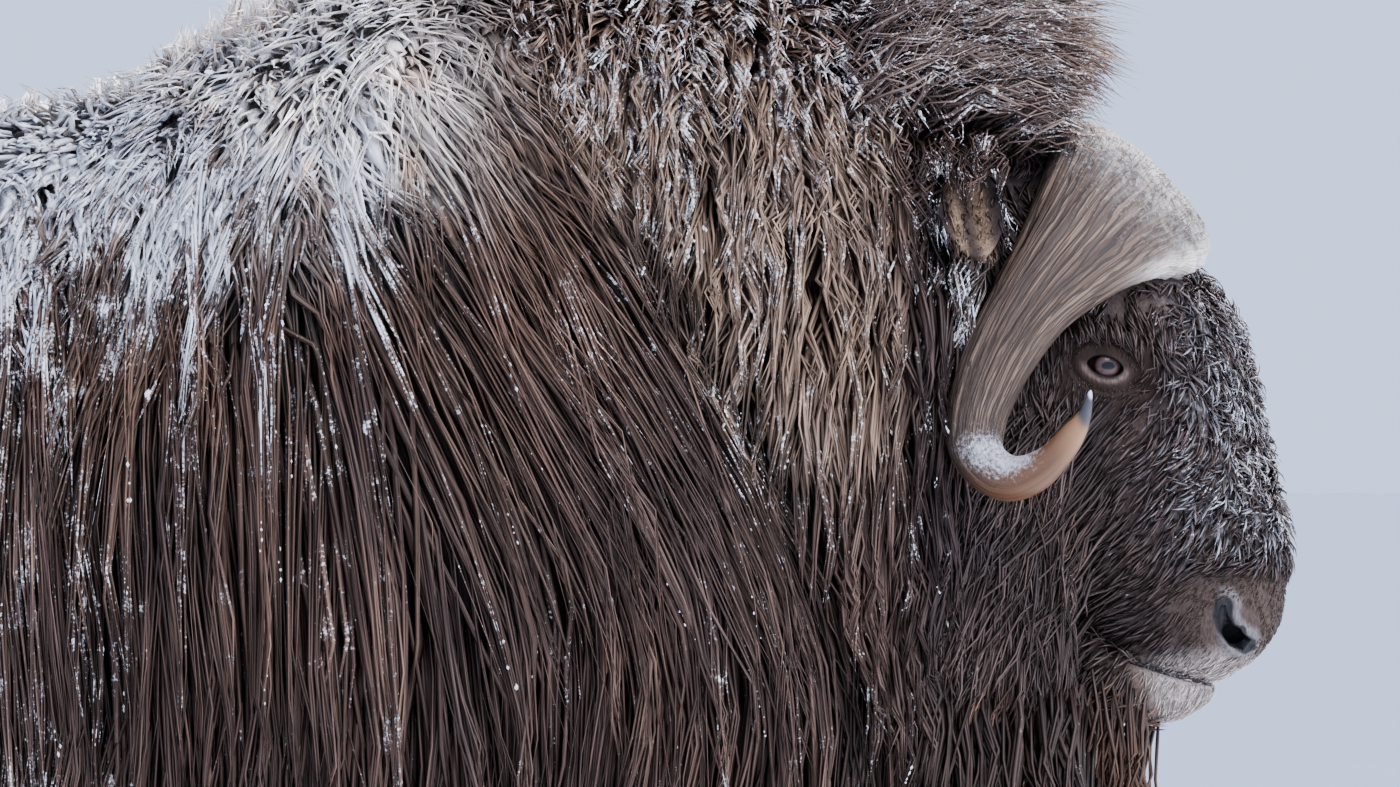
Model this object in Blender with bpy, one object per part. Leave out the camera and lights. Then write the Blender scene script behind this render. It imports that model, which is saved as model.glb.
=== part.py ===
"""A bull muskox in winter coat, life size, standing still with its head low.

Metres, +Z up. It faces +X, its right side is -Y. The origin is on the ground, in the middle of the
box around the animal. Every piece is its own object: the body is divided at the neck, the shoulders and the
hips, and eyes, ears, horns, legs, claws, dewclaws and tail are pieces of their own.
"""
import math
import random

import bmesh
import bpy
from mathutils import Vector

# Driving dimensions of the animal
HUMP_HEIGHT = 1.40
COAT_WIDTH = 0.78
HORN_SPREAD = 0.61
EYE_RADIUS = 0.0185

# How far touching pieces keep apart
GAP = 0.0004

# Shares of the coat's depth: 0 is the skin and 1 the tips of the hair
TIPS = 1.0
CORE = 0.5
ROOT = 0.28
RISE = 0.93
# The hair of the hump lies this much lower than its tips would stand
HUMP_LIE = 0.025

# The trunk and neck, one row for each station along the spine:
# x, then top, low and half width of the skin, then top, low and half width at the tips of the coat
TRUNK = (
    (-1.075, 0.90, 0.74, 0.200, 0.99, 0.250, 0.270),
    (-0.98, 1.02, 0.63, 0.225, 1.10, 0.205, 0.300),
    (-0.86, 1.09, 0.56, 0.250, 1.170, 0.185, 0.335),
    (-0.70, 1.135, 0.52, 0.270, 1.207, 0.175, 0.362),
    (-0.50, 1.155, 0.50, 0.290, 1.222, 0.170, 0.380),
    (-0.25, 1.160, 0.48, 0.305, 1.227, 0.165, COAT_WIDTH / 2),
    (-0.02, 1.165, 0.475, 0.305, 1.236, 0.165, COAT_WIDTH / 2),
    (0.13, 1.215, 0.475, 0.297, 1.330, 0.170, 0.385),
    (0.28, 1.275, 0.480, 0.283, 1.405, 0.175, 0.370),
    (0.43, 1.305, 0.490, 0.265, HUMP_HEIGHT + HUMP_LIE, 0.185, 0.348),
    (0.57, 1.300, 0.520, 0.240, 1.435, 0.215, 0.315),
    (0.69, 1.262, 0.575, 0.190, 1.400, 0.300, 0.262),
    (0.79, 1.20, 0.650, 0.145, 1.345, 0.400, 0.212),
    (0.88, 1.13, 0.720, 0.115, 1.290, 0.480, 0.170),
)
REAR_ROUND = 0.20
REAR_BLUNTNESS = 2.6
REAR_COAT_DEPTH = 0.05
TRUNK_STEP = 0.125
TRUNK_SIDES = 20
UPPER_ROUNDNESS = 2.2
LOWER_ROUNDNESS_SKIN = 2.3
LOWER_ROUNDNESS_TIPS = 6.0
WIDEST_SKIN = 0.45
WIDEST_TIPS = 0.42

# Where the body is divided, each a line in the middle plane from its top to its low end
HIP_CUT = (Vector((-0.55, 0, 1.2)), Vector((-0.55, 0, 0.2)))
SHOULDER_CUT = (Vector((0.10, 0, 1.3)), Vector((0.10, 0, 0.2)))
NECK_CUT = (Vector((0.44, 0, 1.40)), Vector((0.66, 0, 0.66)))
HEAD_CUT = (Vector((0.765, 0, 1.19)), Vector((0.735, 0, 0.78)))
# Where the sides of the rump begin to turn in
RUMP_LINE = (
    Vector((TRUNK[0][0] + REAR_ROUND, 0, 1.2)),
    Vector((TRUNK[0][0] + REAR_ROUND, 0, 0.2)),
)

# The hair hangs in tiers. Each has where its locks root and end: 0 on the midline of the back, 1
# where the body is widest and 2 at the hem
FLANK_TIERS = ((0.34, 1.04), (0.74, 1.54), (1.14, 1.99))
MANE_TIERS = ((0.06, 0.62), (0.42, 1.12), (0.80, 1.58), (1.16, 1.99))
THROAT_TIERS = ((0.06, 0.58), (0.36, 1.06), (0.74, 1.58))
LOCK_SPACING = 0.140
LOCK_FULLNESS = 0.96
LOCK_THICKNESS = 0.021
FREE_LOCK_THICKNESS = 0.017
LOCK_STEPS = (0.0, 0.26, 0.53, 0.80, 1.0)
LOCK_SWAY = 0.022
# How far a lock strays from its tier, in falls and in shares of the coat's depth
ROOT_STRAY = 0.05
TIP_STRAY = 0.08
RISE_STRAY = 0.06
COLUMN_STRAY = 0.12
WIDTH_STRAY = 0.10
# How far the ridge of a lock leans to one side, as a share of its half width
RIDGE_LEAN = 0.4
# How fast a lock lifts off the core, and how far along it its sway turns
LIFT_POWER = 1.7
SWAY_TURN = 2.4
# How far toward the hem the coat goes straight down before it would curl under
DEEPEST = 0.90
# Around the rump, the angles from the tail where locks hang
RUMP_ANGLES = (27, 48, 70)
RUMP_STRAY = 3
RUMP_LOCK_HALF_WIDTH = 0.043
RUMP_SWAY = 5

# The wool of the back lies in rounded clumps, staggered in rows along the spine
CLUMP_STEP = 0.155
CLUMP_FALLS = (-0.31, 0.0, 0.31)
CLUMP_SIZE = Vector((0.100, 0.095, 0.038))
CLUMP_SIDES = 6
CLUMP_RINGS = 4
CLUMP_TILT = 0.20
CLUMP_STRAY = 0.10
CLUMP_SIZE_STRAY = 0.15
# Where the clumps of the rump begin, ahead of its rearmost station
CLUMP_REAR = 0.06

# The skull and upper jaw: forward point, rear point (x, z), half width and roundness of each rib
HEAD_RIBS = (
    ((0.790, 1.168), (0.700, 1.050), 0.095, 2.2),
    ((0.885, 1.135), (0.700, 0.955), 0.124, 2.3),
    ((0.958, 1.072), (0.715, 0.880), 0.137, 2.4),
    ((1.012, 1.022), (0.750, 0.810), 0.139, 2.4),
    ((1.037, 0.965), (0.795, 0.765), 0.128, 2.3),
    ((1.047, 0.905), (0.838, 0.735), 0.110, 2.2),
    ((1.063, 0.848), (0.872, 0.715), 0.092, 2.2),
    ((1.074, 0.795), (0.900, 0.700), 0.079, 2.3),
    ((1.074, 0.752), (0.925, 0.692), 0.071, 2.5),
    ((1.064, 0.716), (0.950, 0.684), 0.064, 2.6),
    ((1.043, 0.694), (0.975, 0.678), 0.052, 2.4),
    ((1.020, 0.682), (1.000, 0.677), 0.030, 2.2),
)
# The lower jaw and chin in the same way
JAW_RIBS = (
    ((0.800, 0.860), (0.745, 0.760), 0.070, 2.2),
    ((0.855, 0.770), (0.815, 0.690), 0.072, 2.2),
    ((0.905, 0.720), (0.880, 0.652), 0.060, 2.3),
    ((0.945, 0.700), (0.925, 0.637), 0.052, 2.4),
    ((0.980, 0.688), (0.965, 0.636), 0.045, 2.4),
    ((1.004, 0.680), (0.995, 0.650), 0.030, 2.2),
)
HEAD_SIDES = 24
MOUTH_LINE = ((1.030, 0.668), (1.004, 0.6705), (0.967, 0.680), (0.925, 0.693))
MOUTH_DEPTH = 0.022
MOUTH_GAPE = 0.004

NOSTRIL_CENTRE = Vector((1.040, 0.056, 0.722))
NOSTRIL_SIZE = Vector((0.014, 0.020, 0.021))

EYE_CENTRE = Vector((0.901, 0.113, 0.962))
LID_THICKNESS = 0.0045
LID_HALF_LENGTH = 0.0185
LID_HALF_OPENING = 0.0105

# The horn: rear edge and front edge (x, z), y, and half thickness of each station, from the
# midline of the boss over the side of the head and up to the tip
HORN_STATIONS = (
    ((0.866, 1.176), (0.992, 1.062), 0.005, 0.034),
    ((0.864, 1.180), (0.990, 1.058), 0.030, 0.036),
    ((0.862, 1.176), (0.976, 1.050), 0.072, 0.037),
    ((0.851, 1.148), (0.945, 1.044), 0.112, 0.036),
    ((0.829, 1.096), (0.905, 1.025), 0.148, 0.033),
    ((0.797, 1.032), (0.865, 0.997), 0.172, 0.030),
    ((0.771, 0.977), (0.833, 0.958), 0.188, 0.027),
    ((0.757, 0.928), (0.812, 0.918), 0.201, 0.0255),
    ((0.757, 0.884), (0.806, 0.892), 0.216, 0.024),
    ((0.777, 0.854), (0.811, 0.883), 0.232, 0.0225),
    ((0.808, 0.840), (0.823, 0.880), 0.249, 0.0205),
    ((0.839, 0.850), (0.843, 0.889), 0.266, 0.018),
    ((0.866, 0.878), (0.860, 0.907), 0.282, 0.014),
    ((0.880, 0.906), (0.874, 0.922), 0.294, 0.0085),
)
HORN_TIP = Vector((0.884, HORN_SPREAD / 2, 0.940))
HORN_SIDES = 11

EAR_ROOT = Vector((0.772, 0.150, 1.140))
EAR_TIP = Vector((0.786, 0.208, 1.058))
EAR_HALF_WIDTH = 0.030
EAR_HALF_THICKNESS = 0.013
EAR_SIDES = 10
# The ear from root to tip: share of its length and of its half width
EAR_OUTLINE = ((0.0, 0.62), (0.2, 0.85), (0.45, 1.0), (0.7, 0.75), (0.9, 0.36), (1.0, 0.1))
# The cup of the ear: shares of the ear's half width, half thickness and length
EAR_CUP = Vector((0.62, 1.10, 0.36))

# Locks that stand forward over the boss, in two layers: where they root along the neck, how far
# they reach, and how high their tips lie
CREST_LAYERS = ((0.690, 0.055, 0.900, 1.222, 4), (0.655, 0.035, 0.925, 1.250, 2))
CREST_SPACING = 0.033
CREST_HALF_WIDTH = 0.036
# The fall of the coat reached by a metre across the nape
CREST_FALL = 3.85
# How far the outer crest locks reach less forward, wider and lower, for each metre from the middle
CREST_SHORTER = 0.35
CREST_WIDER = 1.15
CREST_LOWER = 0.10
# Locks along the midline of the hump, which lie to the rear: x of their roots, y, and their length
HUMP_LOCKS = ((0.430, 0.016), (0.325, -0.018), (0.220, 0.014))
HUMP_LOCK_LENGTH = 0.150
HUMP_LOCK_HALF_WIDTH = 0.052
# Locks of the throat and chest: the x and height of their roots and of their tips, and how many
THROAT_LAYERS = ((0.715, 0.700, 0.750, 0.455, 3), (0.708, 0.600, 0.765, 0.385, 4))
THROAT_SPACING = 0.070
CHEST_LAYER = (0.672, 0.500, 0.695, 0.235, 5)
CHEST_SPACING = 0.085
# Locks of the beard under the jaw: root x and height, tip x and height, and how many across
BEARD_LAYERS = (
    (0.815, 0.710, 0.800, 0.455, 4),
    (0.872, 0.680, 0.862, 0.420, 4),
    (0.925, 0.662, 0.915, 0.440, 3),
)
BEARD_SPACING = 0.034
BEARD_HALF_WIDTH = 0.030
BEARD_TURN = 30
# In a row across the front, how the outer locks step back, spread and shorten: for each metre from
# the middle, except the two spreads, which are shares
ROW_ROOT_BACK = 0.3
ROW_TIP_BACK = 0.2
ROW_ROOT_SPREAD = 0.9
ROW_TIP_SPREAD = 1.1
ROW_SHORTER = 0.5
ROW_STRAY = 0.04
# How far a hanging lock bows forward, and the share of its height where it bends
ROW_BOW = 0.012
ROW_BEND = 0.35
# How full the locks of a row are, as a share of their spacing
ROW_FULLNESS = 0.48
# How far the tip of a free lock strays
FREE_STRAY = 0.008
# Locks that hang down the front of the neck beside the cheeks: root y and height, tip y and height
RUFF = ((0.150, 0.860, 0.172, 0.600), (0.196, 0.930, 0.215, 0.660), (0.200, 0.740, 0.205, 0.480))
RUFF_HALF_WIDTH = 0.040
RUFF_SUNK = 0.012
RUFF_BOW = 0.021

# Legs: height, forward shift, half length and half width, from the coronet up into the coat
FORE_LEG = (
    (0.070, 0.012, 0.055, 0.048),
    (0.120, -0.006, 0.050, 0.045),
    (0.190, -0.012, 0.042, 0.039),
    (0.290, -0.004, 0.052, 0.047),
    (0.390, -0.010, 0.060, 0.054),
    (0.520, -0.025, 0.075, 0.060),
)
HIND_LEG = (
    (0.070, 0.012, 0.053, 0.047),
    (0.120, -0.008, 0.048, 0.044),
    (0.200, -0.030, 0.041, 0.038),
    (0.320, -0.060, 0.054, 0.042),
    (0.420, -0.040, 0.068, 0.052),
    (0.520, 0.000, 0.085, 0.060),
)
LEG_SIDES = 12
# Where each foot stands
FEET = {
    "front_right": (FORE_LEG, 0.405, -0.165),
    "front_left": (FORE_LEG, 0.475, 0.165),
    "rear_right": (HIND_LEG, -0.775, -0.175),
    "rear_left": (HIND_LEG, -0.700, 0.175),
}

# A claw: height and the share of its sole's length and width at each level
CLAW_LENGTH = 0.118
CLAW_WIDTH = 0.050
CLAW_CLEFT = 0.006
CLAW_LEVELS = ((0.0, 1.0, 1.0), (0.030, 0.95, 0.97), (0.0696, 0.68, 0.84))
CLAW_SLANT = 0.016
CLAW_SIDES = 10
# How far the toe stands ahead of the middle of the foot
CLAW_AHEAD = 0.02
DEWCLAW_SIZE = Vector((0.016, 0.011, 0.018))
DEWCLAW_PLACE = Vector((-0.048, 0.022, 0.098))

TAIL_ROOT = Vector((-1.018, 0, 0.940))
TAIL_TIP = Vector((-1.050, 0, 0.800))
TAIL_HALF_WIDTH = 0.034
TAIL_FLATNESS = 0.6
TAIL_SIDES = 12
# The tail from root to tip: share of its length and of its half width
TAIL_OUTLINE = ((0.0, 0.8), (0.3, 1.0), (0.65, 0.85), (0.9, 0.45), (1.0, 0.12))
TAIL_LOCKS = 3
TAIL_LOCK_TIP_Z = 0.70
TAIL_LOCK_CLEARANCE = 0.010
TAIL_LOCK_SUNK = 0.011
TAIL_LOCK_HALF_WIDTH = 0.013

# Colour, roughness and metallic value of each material
MATERIALS = {
    "coat_dark": ((0.060, 0.036, 0.024), 0.85, 0.0),
    "coat_mane": ((0.210, 0.140, 0.090), 0.85, 0.0),
    "coat_face": ((0.040, 0.028, 0.022), 0.85, 0.0),
    "coat_stocking": ((0.480, 0.430, 0.370), 0.85, 0.0),
    "horn": ((0.430, 0.330, 0.240), 0.45, 0.0),
    "eye": ((0.030, 0.018, 0.012), 0.10, 0.0),
    "hoof": ((0.025, 0.022, 0.020), 0.55, 0.0),
}

# Superellipse powers of the horn, the legs and the claws
HORN_ROUNDNESS = 2.2
LEG_ROUNDNESS = 2.2
CLAW_ROUNDNESS = 2.5
# The first rib of the face in front of which the mouth is cut
MUZZLE_START = 5
# Edges sharper than this stay sharp in the shading
SHARP_ANGLE = 40

WORLD_AXES = (Vector((1, 0, 0)), Vector((0, 1, 0)), Vector((0, 0, 1)))
SEED = 4
PARTS_NAME = "muskox"
HELPERS_NAME = "cutters"


def clear_scene():
    """Removes what the file starts with and makes the two collections."""
    for obj in list(bpy.data.objects):
        bpy.data.objects.remove(obj)
    for name in (PARTS_NAME, HELPERS_NAME):
        made = bpy.data.collections.new(name)
        bpy.context.scene.collection.children.link(made)


def mix(a, b, share):
    return a + (b - a) * share


def read_row(table, at):
    """The row of a table at any station, on smooth curves through its rows."""
    last = len(table) - 1
    k = max(0, min(last - 1, sum(1 for row in table if row[0] <= at) - 1))
    before, here = table[max(0, k - 1)], table[k]
    after, beyond = table[k + 1], table[min(last, k + 2)]
    span = after[0] - here[0]
    t = max(0.0, min(1.0, (at - here[0]) / span))
    row = []
    for i in range(1, len(here)):
        slope_here = (after[i] - before[i]) / (after[0] - before[0]) * span
        slope_after = (beyond[i] - here[i]) / (beyond[0] - here[0]) * span
        row.append(
            (2 * t**3 - 3 * t**2 + 1) * here[i]
            + (t**3 - 2 * t**2 + t) * slope_here
            + (3 * t**2 - 2 * t**3) * after[i]
            + (t**3 - t**2) * slope_after
        )
    return row


def super_ring(angle, roundness):
    """Cosine and sine of a superellipse, whose corners fill out as its roundness grows."""
    cosine, sine = math.cos(angle), math.sin(angle)
    return (
        math.copysign(abs(cosine) ** (2 / roundness), cosine),
        math.copysign(abs(sine) ** (2 / roundness), sine),
    )


def rear_rounding(x):
    """The share of its width that the trunk keeps where the rump turns in."""
    into_rear = min(1.0, max(0.0, (TRUNK[0][0] + REAR_ROUND - x) / REAR_ROUND))
    return (1 - into_rear**REAR_BLUNTNESS) ** (1 / REAR_BLUNTNESS)


def rear_station(angle):
    """The station of the trunk at an angle round the rump, from 0 at the tail to a right angle."""
    return TRUNK[0][0] + REAR_ROUND * (1 - math.cos(angle) ** (2 / REAR_BLUNTNESS))


def trunk_form(x, share):
    """Top, low, half width, height of the widest place and lower roundness at a station."""
    top, low, half, coat_top, coat_low, coat_half = read_row(TRUNK, x)
    top = mix(top, coat_top, share)
    low = mix(low, coat_low, share)
    half = mix(half, coat_half, share) * rear_rounding(x)
    widest = mix(low, top, mix(WIDEST_SKIN, WIDEST_TIPS, share))
    roundness = mix(LOWER_ROUNDNESS_SKIN, LOWER_ROUNDNESS_TIPS, share)
    return top, low, half, widest, roundness


def trunk_x(x, share):
    """A station moved forward by the depth of coat that the rump carries at its rear."""
    into_rear = max(0.0, (TRUNK[0][0] + REAR_ROUND - x) / REAR_ROUND)
    return x + (1 - share) * REAR_COAT_DEPTH * into_rear


def trunk_ring(x, share):
    top, low, half, widest, lower_roundness = trunk_form(x, share)
    ring = []
    for k in range(TRUNK_SIDES):
        angle = 2 * math.pi * k / TRUNK_SIDES
        upper = math.cos(angle) >= 0
        up, side = super_ring(angle, UPPER_ROUNDNESS if upper else lower_roundness)
        reach = top - widest if upper else widest - low
        ring.append(Vector((trunk_x(x, share), half * side, widest + reach * up)))
    return ring


def trunk_stations():
    """Stations along the trunk, closer together where the rump rounds off."""
    rear = [rear_station(math.radians(angle)) for angle in (6, 24, 46, 68, 90)]
    end = TRUNK[-1][0]
    count = round((end - rear[-1]) / TRUNK_STEP)
    return rear + [mix(rear[-1], end, k / count) for k in range(1, count + 1)]


def coat_point(x, fall, share, side):
    """A point in the coat. Its fall is 0 on the midline of the back and 2 at the hem."""
    top, low, half, widest, lower_roundness = trunk_form(x, share)
    if fall <= 1:
        up, out = super_ring(fall * math.pi / 2, UPPER_ROUNDNESS)
        z = widest + (top - widest) * up
    else:
        hem = trunk_form(x, TIPS)[1]
        z = mix(widest, hem, fall - 1)
        down = min(DEEPEST, (widest - z) / (widest - low))
        out = (1 - down**lower_roundness) ** (1 / lower_roundness)
    return Vector((trunk_x(x, share), side * half * out, z))


def x_at(cut, z):
    """Where a cut lies at a height."""
    top, low = cut
    return mix(low.x, top.x, (z - low.z) / (top.z - low.z))


def put_in(name, obj):
    bpy.data.collections[name].objects.link(obj)
    return obj


def object_of(bm, name):
    bm.normal_update()
    bmesh.ops.recalc_face_normals(bm, faces=bm.faces)
    mesh = bpy.data.meshes.new(name)
    bm.to_mesh(mesh)
    bm.free()
    return put_in(PARTS_NAME, bpy.data.objects.new(name, mesh))


def loft(name, rings):
    """A closed skin through rings of the same count of points, its two ends fanned to a middle."""
    bm = bmesh.new()
    loops = [[bm.verts.new(point) for point in ring] for ring in rings]
    for first, second in zip(loops, loops[1:]):
        for k in range(len(first)):
            n = (k + 1) % len(first)
            bm.faces.new((first[k], first[n], second[n], second[k]))
    for loop in (loops[0], loops[-1]):
        middle = bm.verts.new(sum((v.co for v in loop), Vector()) / len(loop))
        for k in range(len(loop)):
            bm.faces.new((loop[k], loop[(k + 1) % len(loop)], middle))
    bmesh.ops.triangulate(bm, faces=bm.faces)
    return object_of(bm, name)


def cutter(obj):
    """Moves an object to the helpers, which aren't part of the animal."""
    bpy.data.collections[PARTS_NAME].objects.unlink(obj)
    put_in(HELPERS_NAME, obj)
    obj.hide_render = True
    obj.display_type = "WIRE"
    return obj


def slab_beside(cut, ahead):
    """A large block ahead of a cut, or behind it, whose face is set back by half the gap."""
    top, low = cut
    along = (top - low).normalized()
    forward = Vector((along.z, 0, -along.x))
    side = forward if ahead else -forward
    start = (top + low) / 2 + side * GAP / 2
    bm = bmesh.new()
    bmesh.ops.create_cube(bm, size=1)
    reach = 3.0
    for vert in bm.verts:
        depth, across, height = vert.co.x + 0.5, vert.co.y, vert.co.z
        vert.co = start + side * depth * reach + along * height * 2 * reach
        vert.co.y += across * reach
    return cutter(object_of(bm, "beside_cut"))


def baked(obj):
    """Applies an object's modifiers, so that its mesh holds the result."""
    bpy.context.view_layer.update()
    graph = bpy.context.evaluated_depsgraph_get()
    mesh = bpy.data.meshes.new_from_object(obj.evaluated_get(graph))
    obj.modifiers.clear()
    obj.data = mesh
    return obj


def boolean(obj, other, operation):
    modifier = obj.modifiers.new(operation.lower(), "BOOLEAN")
    modifier.operation = operation
    modifier.solver = "MANIFOLD"
    modifier.object = other
    return baked(obj)


def remove(*objects):
    for obj in objects:
        bpy.data.objects.remove(obj)


def copy_of(obj, name):
    made = bpy.data.objects.new(name, obj.data.copy())
    return put_in(PARTS_NAME, made)


def swollen(obj, by):
    """A cutter that is the object grown by a gap on every side."""
    made = copy_of(obj, obj.name + "_room")
    bm = bmesh.new()
    bm.from_mesh(made.data)
    bm.normal_update()
    for vert, normal in [(v, v.normal.copy()) for v in bm.verts]:
        vert.co += normal * by
    bm.to_mesh(made.data)
    bm.free()
    return cutter(made)


def seat(obj, *others):
    """Cuts room for an object out of what it sits in, with the gap all round."""
    room = swollen(obj, GAP)
    for other in others:
        boolean(other, room, "DIFFERENCE")
    remove(room)


def fuse(obj, *others):
    for other in others:
        boolean(obj, other, "UNION")
    remove(*others)
    return obj


def fuse_all(obj, pieces):
    """Joins an object with the closed pieces that root in it, in one union."""
    rooted = bpy.data.collections.new("rooted")
    bpy.context.scene.collection.children.link(rooted)
    for piece in pieces:
        bpy.data.collections[PARTS_NAME].objects.unlink(piece)
        rooted.objects.link(piece)
    modifier = obj.modifiers.new("union", "BOOLEAN")
    modifier.operation = "UNION"
    modifier.solver = "MANIFOLD"
    modifier.operand_type = "COLLECTION"
    modifier.collection = rooted
    baked(obj)
    remove(*pieces)
    bpy.data.collections.remove(rooted)
    return obj


def keep_between(obj, *sides):
    """Keeps what is ahead of some cuts and behind others."""
    for cut, ahead in sides:
        slab = slab_beside(cut, ahead)
        boolean(obj, slab, "INTERSECT")
        remove(slab)
    return obj


def keep_largest(obj):
    """Drops every closed surface of an object but its largest."""
    bm = bmesh.new()
    bm.from_mesh(obj.data)
    left, pieces = set(bm.verts), []
    while left:
        piece, front = set(), [left.pop()]
        while front:
            vert = front.pop()
            piece.add(vert)
            for edge in vert.link_edges:
                other = edge.other_vert(vert)
                if other in left:
                    left.remove(other)
                    front.append(other)
        pieces.append(piece)
    largest = max(pieces, key=len)
    bmesh.ops.delete(bm, geom=[v for v in bm.verts if v not in largest], context="VERTS")
    bm.to_mesh(obj.data)
    bm.free()
    return obj


def mirrored(obj, name):
    """A copy of an object on the other side of the middle plane."""
    made = copy_of(obj, name)
    bm = bmesh.new()
    bm.from_mesh(made.data)
    for vert in bm.verts:
        vert.co.y = -vert.co.y
    bmesh.ops.reverse_faces(bm, faces=bm.faces)
    bm.to_mesh(made.data)
    bm.free()
    return made


def ellipsoid(name, centre, size, segments=16, rings=10, axes=WORLD_AXES):
    bm = bmesh.new()
    bmesh.ops.create_uvsphere(bm, u_segments=segments, v_segments=rings, radius=1)
    for vert in bm.verts:
        local = vert.co.copy()
        vert.co = centre + sum((axes[k] * local[k] * size[k] for k in range(3)), Vector())
    return object_of(bm, name)


def rib_ring(front, rear, half, roundness):
    """A ring of the head, between a forward and a rear point in the middle plane."""
    front, rear = Vector((front[0], 0, front[1])), Vector((rear[0], 0, rear[1]))
    middle, reach = (front + rear) / 2, (front - rear) / 2
    ring = []
    for k in range(HEAD_SIDES):
        ahead, side = super_ring(2 * math.pi * k / HEAD_SIDES, roundness)
        ring.append(middle + reach * ahead + Vector((0, half * side, 0)))
    return ring


def make_lock(points, outward, half_width, thickness, ridge_lean=0.0):
    """A flat, tapered lock along its points, with a low ridge on its outer side."""
    bm = bmesh.new()
    last = len(points) - 1
    rings = []
    for k, point in enumerate(points[:-1]):
        ahead = (points[k + 1] - points[max(0, k - 1)]).normalized()
        across = ahead.cross(outward[k]).normalized()
        up = across.cross(ahead)
        t = k / last
        wide = across * half_width * min(1.0, 0.72 + t) * (1 - t**3) ** 0.8
        ridge = up * thickness * math.sqrt(1 - t * t)
        corners = (point + wide, point + ridge + wide * ridge_lean, point - wide)
        rings.append([bm.verts.new(corner) for corner in corners])
    tip = bm.verts.new(points[-1])
    bm.faces.new(rings[0])
    for first, second in zip(rings, rings[1:]):
        for k in range(3):
            n = (k + 1) % 3
            bm.faces.new((first[k], first[n], second[n], second[k]))
    for k in range(3):
        bm.faces.new((rings[-1][k], rings[-1][(k + 1) % 3], tip))
    bmesh.ops.triangulate(bm, faces=bm.faces)
    return object_of(bm, "lock")


def coat_lock(rng, station_of, tier, side, half_width):
    """A lock that follows the coat down from its root, lifts off the core and ends at the tips."""
    root_fall = tier[0] + rng.uniform(-ROOT_STRAY, ROOT_STRAY)
    tip_fall = min(2.0, tier[1] + rng.uniform(-TIP_STRAY, TIP_STRAY))
    rise = RISE + rng.uniform(-RISE_STRAY, RISE_STRAY)
    sway = rng.uniform(-1, 1)
    height = coat_point(station_of(1.0, 0), root_fall, ROOT, side).z
    points, outward = [], []
    for t in LOCK_STEPS:
        fall = mix(root_fall, tip_fall, t)
        share = mix(ROOT, rise, 1 - (1 - t) ** LIFT_POWER)
        swing = sway * math.sin(SWAY_TURN * t)
        height = coat_point(station_of(height, swing), fall, share, side).z
        x = station_of(height, swing)
        point = coat_point(x, fall, share, side)
        points.append(point)
        outward.append((coat_point(x, fall, share + 0.1, side) - point).normalized())
    width = half_width * rng.uniform(1 - WIDTH_STRAY, 1 + WIDTH_STRAY)
    return make_lock(points, outward, width, LOCK_THICKNESS, rng.uniform(-RIDGE_LEAN, RIDGE_LEAN))


def hang_tiers(rng, rear, front, tiers):
    """Tiers of locks on both sides between two cuts, whose columns run along the cuts."""
    locks = []
    for row, tier in enumerate(tiers):
        z = coat_point((x_at(rear, 1.0) + x_at(front, 1.0)) / 2, tier[0], CORE, 1).z
        width = x_at(front, z) - x_at(rear, z)
        count = max(1, round(width / LOCK_SPACING) + row % 2)
        for side in (1, -1):
            for k in range(count):
                column = (k + 0.5 + rng.uniform(-COLUMN_STRAY, COLUMN_STRAY)) / count

                def station_of(height, swing, column=column):
                    return mix(x_at(rear, height), x_at(front, height), column) + swing * LOCK_SWAY

                half_width = width / count / 2 * LOCK_FULLNESS
                locks.append(coat_lock(rng, station_of, tier, side, half_width))
    return locks


def hang_rump_tiers(rng):
    """The same tiers carried round the rump as far as the tail."""
    locks = []
    for tier in FLANK_TIERS:
        for side in (1, -1):
            for angle in RUMP_ANGLES:
                middle = angle + rng.uniform(-RUMP_STRAY, RUMP_STRAY)

                def station_of(height, swing, middle=middle):
                    return rear_station(math.radians(middle + swing * RUMP_SWAY))

                locks.append(coat_lock(rng, station_of, tier, side, RUMP_LOCK_HALF_WIDTH))
    return locks


def lay_clumps(rng, start, end):
    """Rounded clumps of wool along the back, each leaning to the rear over the next."""
    clumps = []
    count = max(1, round((end - start) / CLUMP_STEP))
    for row in range(count):
        for column, fall in enumerate(CLUMP_FALLS):
            stagger = 0.5 * (column % 2)
            stray = rng.uniform(-CLUMP_STRAY, CLUMP_STRAY)
            x = mix(start, end, (row + 0.25 + stagger + stray) / count)
            side = math.copysign(1, fall)
            spread = abs(fall + rng.uniform(-CLUMP_STRAY, CLUMP_STRAY) / 3)
            middle = coat_point(x, spread, CORE, side)
            out = (coat_point(x, spread, TIPS, side) - middle).normalized()
            rearward = (coat_point(x - 0.05, spread, CORE, side) - middle).normalized()
            along = (rearward + out * CLUMP_TILT).normalized()
            across = out.cross(along).normalized()
            size = CLUMP_SIZE * rng.uniform(1 - CLUMP_SIZE_STRAY, 1 + CLUMP_SIZE_STRAY)
            axes = (along, across, along.cross(across))
            clumps.append(ellipsoid("clump", middle, size, CLUMP_SIDES, CLUMP_RINGS, axes))
    return clumps


def free_lock(rng, root, bend, tip, facing, half_width):
    """A lock from its root past a bend to its tip, wherever they are."""
    jitter = Vector((rng.uniform(-1, 1), rng.uniform(-1, 1), rng.uniform(-1, 1)))
    tip = tip + jitter * FREE_STRAY
    points = []
    for t in LOCK_STEPS:
        points.append(root * (1 - t) ** 2 + bend * 2 * t * (1 - t) + tip * t * t)
    lean = rng.uniform(-RIDGE_LEAN, RIDGE_LEAN)
    return make_lock(points, [facing] * len(points), half_width, FREE_LOCK_THICKNESS, lean)


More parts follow.
